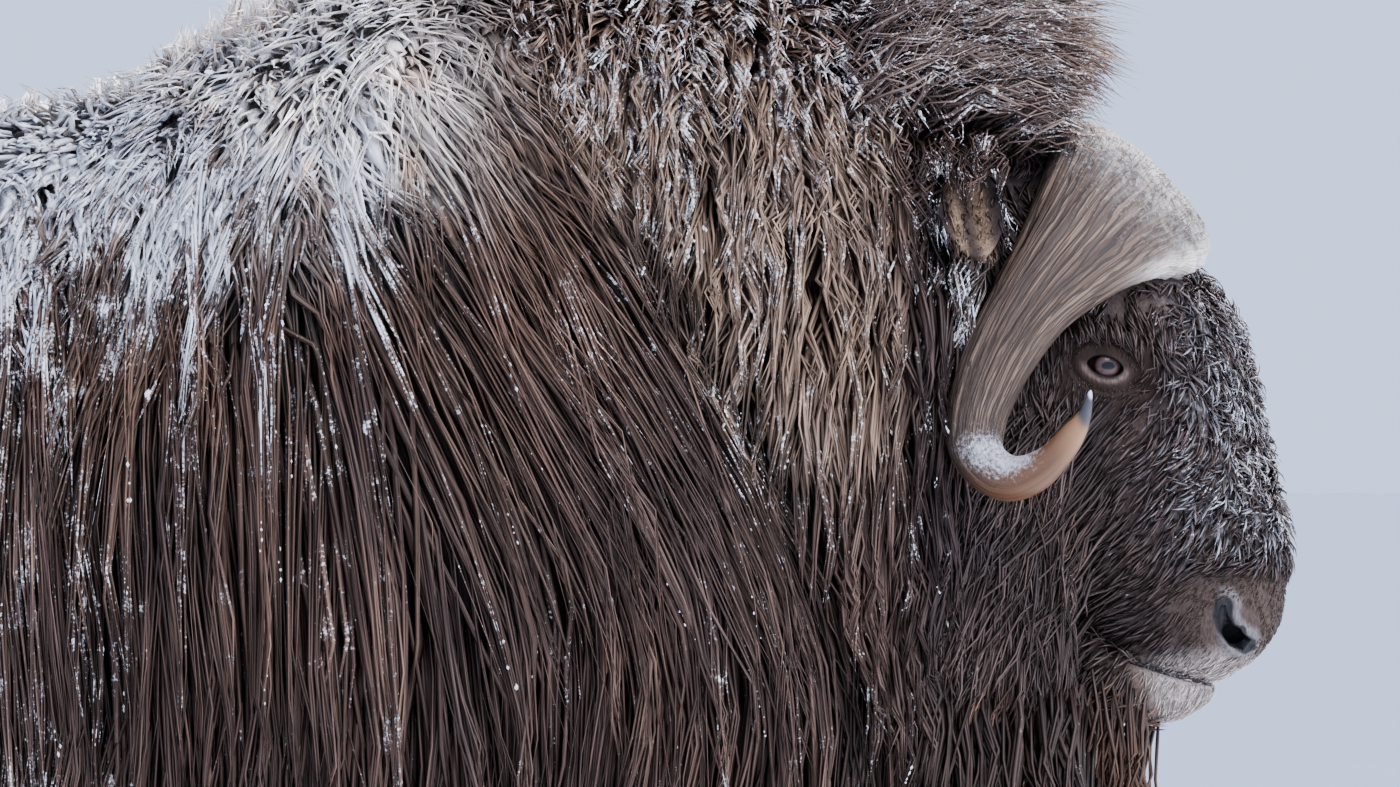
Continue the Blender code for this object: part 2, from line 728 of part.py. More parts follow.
def hanging_row(rng, layer, spacing, half_width, turn=0.5):
    """A row of locks across the front of the animal, which hang down from their roots."""
    root_x, root_z, tip_x, tip_z, count = layer
    locks = []
    for k in range(count):
        y = (k - (count - 1) / 2) * spacing
        shorter = ROW_SHORTER * abs(y) + rng.uniform(-ROW_STRAY, ROW_STRAY)
        root = Vector((root_x - ROW_ROOT_BACK * abs(y), y * ROW_ROOT_SPREAD, root_z))
        tip = Vector((tip_x - ROW_TIP_BACK * abs(y), y * ROW_TIP_SPREAD, tip_z + shorter))
        bend = Vector((max(root_x, tip_x) + ROW_BOW, y, mix(root_z, tip_z, ROW_BEND)))
        locks.append(free_lock(rng, root, bend, tip, Vector((1, turn * y, 0)), half_width))
    return locks


def ruff_locks(rng):
    """Locks that hang down the neck's front face on both sides of the jaw."""
    locks = []
    for root_y, root_z, tip_y, tip_z in RUFF:
        for side in (1, -1):
            ahead = x_at(HEAD_CUT, tip_z) + RUFF_BOW
            root = Vector((x_at(HEAD_CUT, root_z) - RUFF_SUNK, side * root_y, root_z))
            bend = Vector((ahead, side * root_y, mix(root_z, tip_z, ROW_BEND)))
            tip = Vector((ahead, side * tip_y, tip_z))
            facing = Vector((1, side * 0.5, 0))
            locks.append(free_lock(rng, root, bend, tip, facing, RUFF_HALF_WIDTH))
    return locks


def crest_locks(rng):
    """Locks of the nape that stand forward over the boss."""
    locks = []
    for root_x, lift, tip_x, tip_z, each_side in CREST_LAYERS:
        for k in range(-each_side + 1, each_side):
            y = k * CREST_SPACING
            root = coat_point(root_x, abs(y) * CREST_FALL, ROOT, math.copysign(1, y))
            reach = tip_x - CREST_SHORTER * abs(y)
            tip = Vector((reach, y * CREST_WIDER, tip_z - CREST_LOWER * abs(y)))
            bend = (root + tip) / 2 + Vector((0, 0, lift))
            locks.append(free_lock(rng, root, bend, tip, Vector((0, y, 1)), CREST_HALF_WIDTH))
    return locks


def hump_locks(rng):
    """Locks that lie to the rear along the midline of the hump."""
    locks = []
    for root_x, y in HUMP_LOCKS:
        along = []
        for share_along, depth in ((0.0, ROOT), (0.45, RISE), (1.0, RISE)):
            point = coat_point(root_x - HUMP_LOCK_LENGTH * share_along, 0, depth, 1)
            along.append(point + Vector((0, y, 0)))
        locks.append(free_lock(rng, *along, Vector((0, 0, 1)), HUMP_LOCK_HALF_WIDTH))
    return locks


def make_trunk():
    """Trunk and neck in one core, then its four nodes, each with its part of the coat."""
    rng = random.Random(SEED)
    core = loft("core", [trunk_ring(x, CORE) for x in trunk_stations()])
    neck = fuse_all(copy_of(core, "neck"), hang_tiers(rng, NECK_CUT, HEAD_CUT, THROAT_TIERS))
    keep_between(neck, (NECK_CUT, True), (HEAD_CUT, False))
    front = crest_locks(rng)
    for layer in THROAT_LAYERS:
        front += hanging_row(rng, layer, THROAT_SPACING, THROAT_SPACING * ROW_FULLNESS)
    front += ruff_locks(rng)
    fuse_all(neck, front)
    keep_between(neck, (NECK_CUT, True))

    coat = hang_tiers(rng, SHOULDER_CUT, NECK_CUT, MANE_TIERS) + hump_locks(rng)
    shoulders = fuse_all(copy_of(core, "shoulders"), coat)
    keep_between(shoulders, (SHOULDER_CUT, True), (NECK_CUT, False), (HEAD_CUT, False))
    chest = hanging_row(rng, CHEST_LAYER, CHEST_SPACING, CHEST_SPACING * ROW_FULLNESS)
    fuse_all(shoulders, chest)
    keep_between(shoulders, (NECK_CUT, False))

    coat = hang_tiers(rng, HIP_CUT, SHOULDER_CUT, FLANK_TIERS)
    coat += lay_clumps(rng, HIP_CUT[0].x + CLUMP_SIZE.x, SHOULDER_CUT[0].x)
    torso = fuse_all(copy_of(core, "torso"), coat)
    keep_between(torso, (HIP_CUT, True), (SHOULDER_CUT, False))

    coat = hang_tiers(rng, RUMP_LINE, HIP_CUT, FLANK_TIERS) + hang_rump_tiers(rng)
    coat += lay_clumps(rng, TRUNK[0][0] + CLUMP_REAR, HIP_CUT[0].x - CLUMP_SIZE.x / 2)
    hindquarters = fuse_all(copy_of(core, "hindquarters"), coat)
    keep_between(hindquarters, (HIP_CUT, False))
    remove(core)
    return neck, shoulders, torso, hindquarters


def make_mouth_cutter():
    """A thin wedge along the line between the lips, on both sides and across the front."""
    rings = []
    for x, z in MOUTH_LINE:
        rings.append(
            [
                Vector((x, -0.2, z - MOUTH_GAPE / 2)),
                Vector((x, 0.2, z - MOUTH_GAPE / 2)),
                Vector((x, 0.2, z + MOUTH_GAPE / 2)),
                Vector((x, -0.2, z + MOUTH_GAPE / 2)),
            ]
        )
    return cutter(loft("mouth_line", rings))


def make_head():
    head = loft("head", [rib_ring(*rib) for rib in HEAD_RIBS])
    jaw = loft("jaw", [rib_ring(*rib) for rib in JAW_RIBS])
    fuse(head, jaw)
    keep_between(head, (HEAD_CUT, True))
    rng = random.Random(SEED + 1)
    beard = []
    for layer in BEARD_LAYERS:
        beard += hanging_row(rng, layer, BEARD_SPACING, BEARD_HALF_WIDTH, BEARD_TURN)
    fuse_all(head, beard)
    mouth = make_mouth_cutter()
    inner = [rib_ring(f, r, h - MOUTH_DEPTH, p) for f, r, h, p in HEAD_RIBS[MUZZLE_START:]]
    core = cutter(loft("inner_mouth", inner))
    boolean(mouth, core, "DIFFERENCE")
    boolean(head, mouth, "DIFFERENCE")
    remove(mouth, core)
    for side in (1, -1):
        flip = Vector((1, side, 1))
        hole = cutter(ellipsoid("nostril", NOSTRIL_CENTRE * flip, NOSTRIL_SIZE, 10, 6))
        boolean(head, hole, "DIFFERENCE")
        remove(hole)
        shell = EYE_RADIUS + LID_THICKNESS
        lids = ellipsoid("lids", EYE_CENTRE * flip, Vector((shell, shell, shell)), 12, 8)
        fuse(head, lids)
    return keep_largest(head)


def make_eye(head, name, side):
    """An eyeball in its socket, seen through an almond-shaped opening between the lids."""
    centre = EYE_CENTRE * Vector((1, side, 1))
    eye = ellipsoid(name, centre, Vector((EYE_RADIUS,) * 3), 12, 8)
    seat(eye, head)
    opening = Vector((LID_HALF_LENGTH, 3 * LID_THICKNESS, LID_HALF_OPENING))
    front = centre + Vector((0, side * (EYE_RADIUS + LID_THICKNESS), 0))
    almond = cutter(ellipsoid("between_lids", front, opening, 12, 6))
    boolean(head, almond, "DIFFERENCE")
    remove(almond)
    return eye


def make_horn(name):
    """The right horn's mirror image, from the boss to the tip; its sections follow the two edges."""
    edges = []
    for rear, front, y, half in HORN_STATIONS:
        edges.append((Vector((rear[0], y, rear[1])), Vector((front[0], y, front[1])), half))
    middles = [(rear + front) / 2 for rear, front, half in edges]
    middles.append(HORN_TIP)
    rings = []
    for k, (rear, front, half) in enumerate(edges):
        ahead = (middles[k + 1] - middles[max(0, k - 1)]).normalized()
        across = (front - rear) / 2
        out = across.cross(ahead).normalized() * half
        ring = []
        for n in range(HORN_SIDES):
            along, up = super_ring(2 * math.pi * n / HORN_SIDES, HORN_ROUNDNESS)
            ring.append(middles[k] + across * along + out * up)
        rings.append(ring)
    tip_ring = [mix(HORN_TIP, mix(middles[-2], point, 0.25), 0.12) for point in rings[-1]]
    rings.append(tip_ring)
    return loft(name, rings)


def make_ear(name):
    """A leaf-shaped ear that droops outward, with its cup turned out and forward."""
    along = EAR_TIP - EAR_ROOT
    wide = Vector((1, 0, 0)) - along * along.x / along.length_squared
    wide.normalize()
    out = along.normalized().cross(wide)
    rings = []
    for share, width in EAR_OUTLINE:
        ring = []
        for k in range(EAR_SIDES):
            angle = 2 * math.pi * k / EAR_SIDES
            across = EAR_HALF_WIDTH * width * math.cos(angle)
            thick = EAR_HALF_THICKNESS * (0.45 + 0.55 * width) * math.sin(angle)
            ring.append(EAR_ROOT + along * share + wide * across + out * thick)
        rings.append(ring)
    ear = loft(name, rings)
    length = along.length
    facing = out if out.y > 0 else -out
    middle = EAR_ROOT + along * 0.5 + facing * EAR_HALF_THICKNESS * EAR_CUP.y
    size = Vector((EAR_HALF_WIDTH, EAR_HALF_THICKNESS, length)) * EAR_CUP
    cup = cutter(ellipsoid("ear_cup", middle, size, 10, 6, axes=(wide, facing, along / length)))
    boolean(ear, cup, "DIFFERENCE")
    remove(cup)
    return ear


def make_leg(name, form, foot_x, foot_y):
    """A leg from its coronet up into the coat."""
    rings = []
    for z, shift, half_length, half_width in form:
        ring = []
        for k in range(LEG_SIDES):
            ahead, side = super_ring(2 * math.pi * k / LEG_SIDES, LEG_ROUNDNESS)
            ring.append(Vector((foot_x + shift + half_length * ahead, foot_y + half_width * side, z)))
        rings.append(ring)
    return loft(name, rings)


def make_claw(name, foot_x, foot_y, side):
    """One of the two claws of a hoof: flat soled, blunt at the toe, straight along the cleft."""
    rings = []
    for z, length, width in CLAW_LEVELS:
        ring = []
        back = CLAW_SLANT * z / CLAW_LEVELS[-1][0]
        for k in range(CLAW_SIDES):
            ahead, across = super_ring(2 * math.pi * k / CLAW_SIDES, CLAW_ROUNDNESS)
            half_length = CLAW_LENGTH / 2 * length
            inner = CLAW_CLEFT / 2 + CLAW_WIDTH * (1 - width) / 2
            y = inner + CLAW_WIDTH * width * (across * 0.5 + 0.5)
            x = foot_x + CLAW_AHEAD - back + half_length * ahead
            ring.append(Vector((x, foot_y + side * y, z)))
        rings.append(ring)
    return loft(name, rings)


def make_tail(name):
    """The short tail, which lies against the rump."""
    along = TAIL_TIP - TAIL_ROOT
    rings = []
    for share, width in TAIL_OUTLINE:
        ring = []
        for k in range(TAIL_SIDES):
            angle = 2 * math.pi * k / TAIL_SIDES
            side = Vector((0, TAIL_HALF_WIDTH * width * math.cos(angle), 0))
            out = Vector((TAIL_HALF_WIDTH * TAIL_FLATNESS * width * math.sin(angle), 0, 0))
            ring.append(TAIL_ROOT + along * share + side + out)
        rings.append(ring)
    return loft(name, rings)


def hang_tail_locks(tail):
    """Locks that leave the tail at its outer side and hang clear of the rump."""
    rng = random.Random(SEED + 2)
    clear = TRUNK[0][0] + (1 - CORE) * REAR_COAT_DEPTH - TAIL_LOCK_CLEARANCE
    locks = []
    for k in range(TAIL_LOCKS):
        y = (k - (TAIL_LOCKS - 1) / 2) * TAIL_HALF_WIDTH * 0.8
        root = mix(TAIL_ROOT, TAIL_TIP, 0.6) + Vector((-TAIL_LOCK_SUNK, y * 0.3, 0))
        bend = Vector((clear - TAIL_LOCK_CLEARANCE / 2, y, TAIL_TIP.z))
        tip = Vector((clear - TAIL_LOCK_CLEARANCE, y, TAIL_LOCK_TIP_Z))
        locks.append(free_lock(rng, root, bend, tip, Vector((-1, y, 0)), TAIL_LOCK_HALF_WIDTH))
    fuse_all(tail, locks)


def paint(names, slot):
    """Gives the named objects one material and shades them smooth up to a sharp angle."""
    material = bpy.data.materials.get(slot)
    if material is None:
        colour, roughness, metallic = MATERIALS[slot]
        material = bpy.data.materials.new(slot)
        material.use_nodes = True
        shader = material.node_tree.nodes["Principled BSDF"]
        shader.inputs["Base Color"].default_value = (*colour, 1)
        shader.inputs["Roughness"].default_value = roughness
        shader.inputs["Metallic"].default_value = metallic
        material.diffuse_color = (*colour, 1)
    for name in names:
        mesh = bpy.data.objects[name].data
        mesh.materials.clear()
        mesh.materials.append(material)
        mesh.shade_smooth()
        mesh.set_sharp_from_angle(angle=math.radians(SHARP_ANGLE))


def main():
    clear_scene()
    neck, shoulders, torso, hindquarters = make_trunk()
    head = make_head()
    make_eye(head, "eye_left", 1)
    make_eye(head, "eye_right", -1)

    horn_left = make_horn("horn_left")
    horn_right = mirrored(horn_left, "horn_right")
    ear_left = make_ear("ear_left")
    ear_right = mirrored(ear_left, "ear_right")
    for piece in (horn_left, horn_right, ear_left, ear_right):
        seat(piece, head, neck)

    tail = make_tail("tail")
    seat(tail, hindquarters)
    hang_tail_locks(tail)

    for foot, (form, foot_x, foot_y) in FEET.items():
        leg = make_leg("leg_" + foot, form, foot_x, foot_y)
        seat(leg, shoulders if foot.startswith("front") else hindquarters)
        outward = math.copysign(1, foot_y)
        for place, side in (("outer", outward), ("inner", -outward)):
            make_claw(f"claw_{foot}_{place}", foot_x, foot_y, side)
            at = DEWCLAW_PLACE * Vector((1, side, 1)) + Vector((foot_x, foot_y, 0))
            dewclaw = ellipsoid(f"dewclaw_{foot}_{place}", at, DEWCLAW_SIZE, 6, 4)
            seat(dewclaw, leg)

    for piece in (neck, shoulders, torso, hindquarters, head):
        keep_largest(piece)
    names = [obj.name for obj in bpy.data.collections[PARTS_NAME].objects]
    paint([n for n in names if n in ("shoulders", "torso", "hindquarters", "tail")], "coat_dark")
    paint([n for n in names if n in ("neck", "ear_left", "ear_right")], "coat_mane")
    paint(["head"], "coat_face")
    paint([n for n in names if n.startswith("leg_")], "coat_stocking")
    paint([n for n in names if n.startswith("horn_")], "horn")
    paint([n for n in names if n.startswith("eye_")], "eye")
    paint([n for n in names if n.startswith(("claw_", "dewclaw_"))], "hoof")


main()
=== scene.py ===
"""A bull muskox in winter coat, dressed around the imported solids.

Metres, +Z up, facing +X. One skin stands for the body, and the hair over it is solid mesh: strands
gathered into locks that follow the lie of the coat, finest on the face and longest on the flanks.
"""
import math
from dataclasses import dataclass

import bmesh
import bpy
import numpy as np
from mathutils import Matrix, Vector
from mathutils.bvhtree import BVHTree


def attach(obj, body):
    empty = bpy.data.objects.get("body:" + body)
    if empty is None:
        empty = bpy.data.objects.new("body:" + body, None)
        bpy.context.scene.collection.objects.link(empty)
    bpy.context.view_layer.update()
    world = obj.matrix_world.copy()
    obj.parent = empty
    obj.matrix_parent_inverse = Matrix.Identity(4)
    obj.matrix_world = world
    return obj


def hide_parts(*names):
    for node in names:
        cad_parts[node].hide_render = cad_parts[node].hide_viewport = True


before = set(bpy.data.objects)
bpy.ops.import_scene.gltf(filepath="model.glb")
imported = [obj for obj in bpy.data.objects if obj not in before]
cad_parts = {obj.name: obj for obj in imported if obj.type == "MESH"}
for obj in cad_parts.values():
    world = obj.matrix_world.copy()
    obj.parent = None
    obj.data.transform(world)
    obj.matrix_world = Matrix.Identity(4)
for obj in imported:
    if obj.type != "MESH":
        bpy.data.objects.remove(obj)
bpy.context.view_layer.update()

# The trunk and neck, one row for each station along the spine:
# x, then top, low and half width of the skin, then top, low and half width at the tips of the coat
HUMP_TOP = 1.425
TRUNK = np.array(
    (
        (-1.075, 0.90, 0.74, 0.200, 0.99, 0.250, 0.270),
        (-0.98, 1.02, 0.63, 0.225, 1.10, 0.205, 0.300),
        (-0.86, 1.09, 0.56, 0.250, 1.170, 0.185, 0.335),
        (-0.70, 1.135, 0.52, 0.270, 1.207, 0.175, 0.362),
        (-0.50, 1.155, 0.50, 0.290, 1.222, 0.170, 0.380),
        (-0.25, 1.160, 0.48, 0.305, 1.227, 0.165, 0.390),
        (-0.02, 1.165, 0.475, 0.305, 1.236, 0.165, 0.390),
        (0.13, 1.215, 0.475, 0.297, 1.330, 0.170, 0.385),
        (0.28, 1.275, 0.480, 0.283, 1.405, 0.175, 0.370),
        (0.43, 1.305, 0.490, 0.265, HUMP_TOP, 0.185, 0.348),
        (0.57, 1.300, 0.520, 0.240, 1.435, 0.215, 0.315),
        (0.69, 1.262, 0.575, 0.190, 1.400, 0.300, 0.262),
        (0.79, 1.20, 0.650, 0.145, 1.345, 0.400, 0.212),
        (0.88, 1.13, 0.720, 0.115, 1.290, 0.480, 0.170),
    )
)
REAR_ROUND = 0.20
REAR_BLUNTNESS = 2.6
REAR_COAT_DEPTH = 0.05
REAR_END = TRUNK[0, 0]
RUMP_START = REAR_END + REAR_ROUND
# The length of skin from the tail round to the side of the rump
RUMP_ARC = 0.34
UPPER_ROUNDNESS = 2.2
LOWER_ROUNDNESS_SKIN = 2.3
LOWER_ROUNDNESS_TIPS = 6.0
WIDEST_SKIN = 0.45
WIDEST_TIPS = 0.42
DEEPEST = 0.90
SKIN_SHARE = 0.30

HEAD_CUT = ((0.765, 1.19), (0.735, 0.78))
HEAD_RIBS = np.array(
    (
        (0.790, 1.168, 0.700, 1.050, 0.095, 2.2),
        (0.885, 1.135, 0.700, 0.955, 0.124, 2.3),
        (0.958, 1.072, 0.715, 0.880, 0.137, 2.4),
        (1.012, 1.022, 0.750, 0.810, 0.139, 2.4),
        (1.037, 0.965, 0.795, 0.765, 0.128, 2.3),
        (1.047, 0.905, 0.838, 0.735, 0.110, 2.2),
        (1.063, 0.848, 0.872, 0.715, 0.092, 2.2),
        (1.074, 0.795, 0.900, 0.700, 0.079, 2.3),
        (1.074, 0.752, 0.925, 0.692, 0.071, 2.5),
        (1.064, 0.716, 0.950, 0.684, 0.064, 2.6),
        (1.043, 0.694, 0.975, 0.678, 0.052, 2.4),
        (1.020, 0.682, 1.000, 0.677, 0.030, 2.2),
    )
)
JAW_RIBS = np.array(
    (
        (0.800, 0.860, 0.745, 0.760, 0.070, 2.2),
        (0.855, 0.770, 0.815, 0.690, 0.072, 2.2),
        (0.905, 0.720, 0.880, 0.652, 0.060, 2.3),
        (0.945, 0.700, 0.925, 0.637, 0.052, 2.4),
        (0.980, 0.688, 0.965, 0.636, 0.045, 2.4),
        (1.004, 0.680, 0.995, 0.650, 0.030, 2.2),
    )
)
FACE_HAIR_DEPTH = 0.005
EYE_CENTRE = Vector((0.901, 0.113, 0.962))
EYE_RADIUS = 0.0185
# The eyes' long axis drops towards the nose by this share of its length
EYE_SLANT = 0.16
MOUTH_LINE = ((0.925, 0.693), (0.967, 0.680), (1.004, 0.6705), (1.034, 0.667))
NOSTRIL_PATH = ((1.0113, 0.7431), (1.0100, 0.7330), (1.0141, 0.7215), (1.0224, 0.7125), (1.0334, 0.7060))

HORN_STATIONS = np.array(
    (
        (0.866, 1.176, 0.992, 1.062, 0.005, 0.034),
        (0.864, 1.180, 0.990, 1.058, 0.030, 0.036),
        (0.862, 1.176, 0.976, 1.050, 0.072, 0.037),
        (0.851, 1.148, 0.945, 1.044, 0.112, 0.036),
        (0.829, 1.096, 0.905, 1.025, 0.148, 0.033),
        (0.797, 1.032, 0.865, 0.997, 0.172, 0.030),
        (0.771, 0.977, 0.833, 0.958, 0.188, 0.027),
        (0.757, 0.928, 0.812, 0.918, 0.201, 0.0255),
        (0.757, 0.884, 0.806, 0.892, 0.216, 0.024),
        (0.777, 0.854, 0.811, 0.883, 0.232, 0.0225),
        (0.808, 0.840, 0.823, 0.880, 0.249, 0.0205),
        (0.839, 0.850, 0.843, 0.889, 0.266, 0.018),
        (0.866, 0.878, 0.860, 0.907, 0.282, 0.014),
        (0.880, 0.906, 0.874, 0.922, 0.294, 0.0085),
        (0.884, 0.938, 0.883, 0.940, 0.3035, 0.001),
    )
)

# Between the two bosses
HORN_GAP = 0.0024

EAR_ROOT = np.array((0.772, 0.150, 1.140))
EAR_TIP = np.array((0.786, 0.208, 1.058))
EAR_HALF_WIDTH = 0.030
EAR_HALF_THICKNESS = 0.010

FORE_LEG = np.array(
    (
        (0.070, 0.012, 0.055, 0.048),
        (0.120, -0.006, 0.050, 0.045),
        (0.190, -0.012, 0.042, 0.039),
        (0.290, -0.004, 0.052, 0.047),
        (0.390, -0.010, 0.060, 0.054),
        (0.520, -0.025, 0.075, 0.060),
    )
)
HIND_LEG = np.array(
    (
        (0.070, 0.012, 0.053, 0.047),
        (0.120, -0.008, 0.048, 0.044),
        (0.200, -0.030, 0.041, 0.038),
        (0.320, -0.060, 0.054, 0.042),
        (0.420, -0.040, 0.068, 0.052),
        (0.520, 0.000, 0.085, 0.060),
    )
)
LEG_HAIR_DEPTH = 0.006
FEET = {
    "front_right": (FORE_LEG, 0.405, -0.165),
    "front_left": (FORE_LEG, 0.475, 0.165),
    "rear_right": (HIND_LEG, -0.775, -0.175),
    "rear_left": (HIND_LEG, -0.700, 0.175),
}
CLAW_LENGTH = 0.118
CLAW_WIDTH = 0.050
CLAW_CLEFT = 0.006
CLAW_LEVELS = np.array(((0.0, 1.0, 1.0), (0.030, 0.95, 0.97), (0.0696, 0.68, 0.84)))
CLAW_SLANT = 0.016
CLAW_AHEAD = 0.02
DEWCLAW_SIZE = (0.016, 0.011, 0.018)
DEWCLAW_PLACE = Vector((-0.048, 0.022, 0.098))
TAIL_ROOT = Vector((-1.018, 0, 0.940))
TAIL_TIP = Vector((-1.050, 0, 0.800))

# Colours of the hair, as linear light
DARK = np.array((0.051, 0.032, 0.030))
BROWN = np.array((0.120, 0.074, 0.058))
RUST = np.array((0.165, 0.095, 0.062))
TAN = np.array((0.330, 0.220, 0.150))
CREAM = np.array((0.880, 0.810, 0.750))
GREY_BROWN = np.array((0.240, 0.176, 0.148))
NAPE = np.array((0.170, 0.108, 0.092))
FACE = np.array((0.078, 0.057, 0.055))
MUZZLE = np.array((0.108, 0.072, 0.058))
LIP = np.array((0.560, 0.490, 0.460))
STOCKING = np.array((0.500, 0.430, 0.350))
HOARY = np.array((0.460, 0.460, 0.500))
FROST = (0.850, 0.840, 0.870)
# Frost lies in streaks, drawn out in height
STREAK_SQUEEZE = np.array((1.0, 1.0, 0.13))

# The width of one painted hair on a strand
STREAK = 0.0011
# The size on the unwrap of one strand or lump of frost
CHART_PATCH = 0.003
# How far down the side of the trunk a fall of 1 reaches, and the fall where hair ends
FALL_DEPTH = 0.48
LOWEST_FALL = 1.99
# Where the side of the hump begins: the places along the side, and the falls
HUMP_SIDE = ((1.08, 1.36), (0.04, 0.50))
PIECE_LIMIT = 190000
FACE_HAIRS = 19500
LEG_HAIRS = 3100
EAR_TUFTS = 620
CRUMBS = 9600
SEED = 11
SIDES = (1, -1)


# Noise and interpolation


def lattice_noise(points, scale, seed=0):
    """Smooth noise from 0 to 1 at an array of points."""
    at = np.asarray(points, dtype=float) * scale
    base = np.floor(at).astype(np.int64)
    part = at - base
    part = part * part * (3 - 2 * part)
    total = np.zeros(len(at))
    for corner in range(8):
        step = np.array([(corner >> axis) & 1 for axis in range(3)])
        cell = base + step
        mixed = cell[:, 0] * 73856093 ^ cell[:, 1] * 19349663 ^ cell[:, 2] * 83492791
        mixed = (mixed ^ (seed * 40503)) & 0x7FFFFFFF
        mixed = ((mixed ^ (mixed >> 13)) * 1274126177) & 0x7FFFFFFF
        mixed = ((mixed ^ (mixed >> 16)) * 668265263) & 0x7FFFFFFF
        weight = np.prod(np.where(step == 1, part, 1 - part), axis=1)
        total += ((mixed >> 8) & 0xFFFF) / 65535 * weight
    return total


def ramp(value, start, end):
    """0 before the start and 1 after the end, smooth between."""
    t = np.clip((value - start) / (end - start), 0, 1)
    return t * t * (3 - 2 * t)


def until(value, start, end):
    """1 before the start and 0 after the end, smooth between."""
    return 1 - ramp(value, start, end)


def bell(value, middle, width):
    """1 at the middle, falling to 0 on both sides of it."""
    return np.exp(-(((value - middle) / width) ** 2))


def mix(a, b, share):
    return a + (b - a) * share


def read_rows(table, at):
    """The rows of a table at an array of stations, on smooth curves through its rows."""
    last = len(table) - 1
    k = np.clip(np.searchsorted(table[:, 0], at, side="right") - 1, 0, last - 1)
    before, here = table[np.maximum(0, k - 1)], table[k]
    after, beyond = table[k + 1], table[np.minimum(last, k + 2)]
    span = (after[:, 0] - here[:, 0])[:, None]
    t = np.clip((at - here[:, 0])[:, None] / span, 0, 1)
    slope_here = (after - before) / (after[:, :1] - before[:, :1]) * span
    slope_after = (beyond - here) / (beyond[:, :1] - here[:, :1]) * span
    return (
        (2 * t**3 - 3 * t**2 + 1) * here
        + (t**3 - 2 * t**2 + t) * slope_here
        + (3 * t**2 - 2 * t**3) * after
        + (t**3 - t**2) * slope_after
    )


def with_station(table):
    """A table with the number of each row put before it."""
    return np.column_stack((np.arange(len(table)), table))


def signed_power(value, power):
    return np.sign(value) * np.abs(value) ** power


def unit(vectors):
    return vectors / np.maximum(np.linalg.norm(vectors, axis=-1, keepdims=True), 1e-9)


def points_at(x, y, z):
    """Points from their coordinates, each of which is an array or one number."""
    return np.stack(np.broadcast_arrays(x, y, z), axis=-1)


def circle(sides):
    """Angles spaced evenly round a circle."""
    return 2 * math.pi * np.arange(sides) / sides


def oval(angle, roundness):
    """The two coordinates of an oval, round at 2 and squarer above that."""
    return signed_power(np.cos(angle), 2 / roundness), signed_power(np.sin(angle), 2 / roundness)


# The trunk's form


def station_of(u):
    """The station on the spine for a distance along the side, which runs round the rump."""
    angle = np.clip(1 + u / RUMP_ARC, 0.0, 1.0) * math.pi / 2
    round_rump = REAR_END + REAR_ROUND * (1 - np.cos(angle) ** (2 / REAR_BLUNTNESS))
    return np.where(u < 0, round_rump, RUMP_START + u)


def trunk_form(x, share):
    rows = read_rows(TRUNK, np.clip(x, REAR_END, TRUNK[-1, 0]))
    into_rear = np.clip((REAR_END + REAR_ROUND - x) / REAR_ROUND, 0, 1)
    rounding = (1 - into_rear**REAR_BLUNTNESS) ** (1 / REAR_BLUNTNESS)
    top = mix(rows[:, 1], rows[:, 4], share)
    low = mix(rows[:, 2], rows[:, 5], share)
    half = mix(rows[:, 3], rows[:, 6], share) * rounding
    widest = mix(low, top, mix(WIDEST_SKIN, WIDEST_TIPS, share))
    roundness = mix(LOWER_ROUNDNESS_SKIN, LOWER_ROUNDNESS_TIPS, share) + 0 * top
    return top, low, half, widest, roundness, rows[:, 5]


def trunk_x(x, share):
    into_rear = np.clip((REAR_END + REAR_ROUND - x) / REAR_ROUND, 0, None)
    return x + (1 - share) * REAR_COAT_DEPTH * into_rear


def coat_points(x, fall, share, side):
    """Points in the coat. Fall is 0 on the midline of the back and 2 at the hem."""
    top, low, half, widest, roundness, hem = trunk_form(x, share)
    angle = np.clip(fall, 0, 1) * math.pi / 2
    z_upper = widest + (top - widest) * np.cos(angle) ** (2 / UPPER_ROUNDNESS)
    out_upper = np.sin(angle) ** (2 / UPPER_ROUNDNESS)
    z_lower = mix(widest, hem, fall - 1)
    down = np.clip((widest - z_lower) / (widest - low), 0, DEEPEST)
    out_lower = (1 - down**roundness) ** (1 / roundness)
    z = np.where(fall <= 1, z_upper, z_lower)
    out = np.where(fall <= 1, out_upper, out_lower)
    return points_at(trunk_x(x, share), side * half * out, z)


def ring_points(x, share, sides):
    """Whole rings of the trunk at stations, for its skin."""
    x = np.asarray(x, dtype=float)
    top, low, half, widest, roundness, hem = trunk_form(x, share)
    angle = circle(sides)
    up, side = np.cos(angle)[None], np.sin(angle)[None]
    power = np.where(up >= 0, 2 / UPPER_ROUNDNESS, (2 / roundness)[:, None])
    reach = np.where(up >= 0, (top - widest)[:, None], (widest - low)[:, None])
    y = half[:, None] * signed_power(side, power)
    z = widest[:, None] + reach * signed_power(up, power)
    return points_at(trunk_x(x, share)[:, None], y, z)


# Meshes


def flat(values, kind=np.float32):
    """Values in one row, as Blender takes them."""
    return np.ascontiguousarray(values, dtype=kind).ravel()


def mesh_from(name, verts, tris, smooth=True):
    mesh = bpy.data.meshes.new(name)
    mesh.vertices.add(len(verts))
    mesh.vertices.foreach_set("co", flat(verts))
    mesh.loops.add(tris.size)
    mesh.loops.foreach_set("vertex_index", flat(tris, np.int32))
    mesh.polygons.add(len(tris))
    mesh.polygons.foreach_set("loop_start", np.arange(0, tris.size, 3, dtype=np.int32))
    mesh.update(calc_edges=True)
    mesh.polygons.foreach_set("use_smooth", np.full(len(tris), smooth))
    return mesh


def object_from(name, data):
    obj = bpy.data.objects.new(name, data)
    bpy.context.scene.collection.objects.link(obj)
    return obj


def edit(mesh, change):
    """Puts a mesh through a change that is written for bmesh."""
    bm = bmesh.new()
    bm.from_mesh(mesh)
    change(bm)
    bm.to_mesh(mesh)
    bm.free()
    return mesh


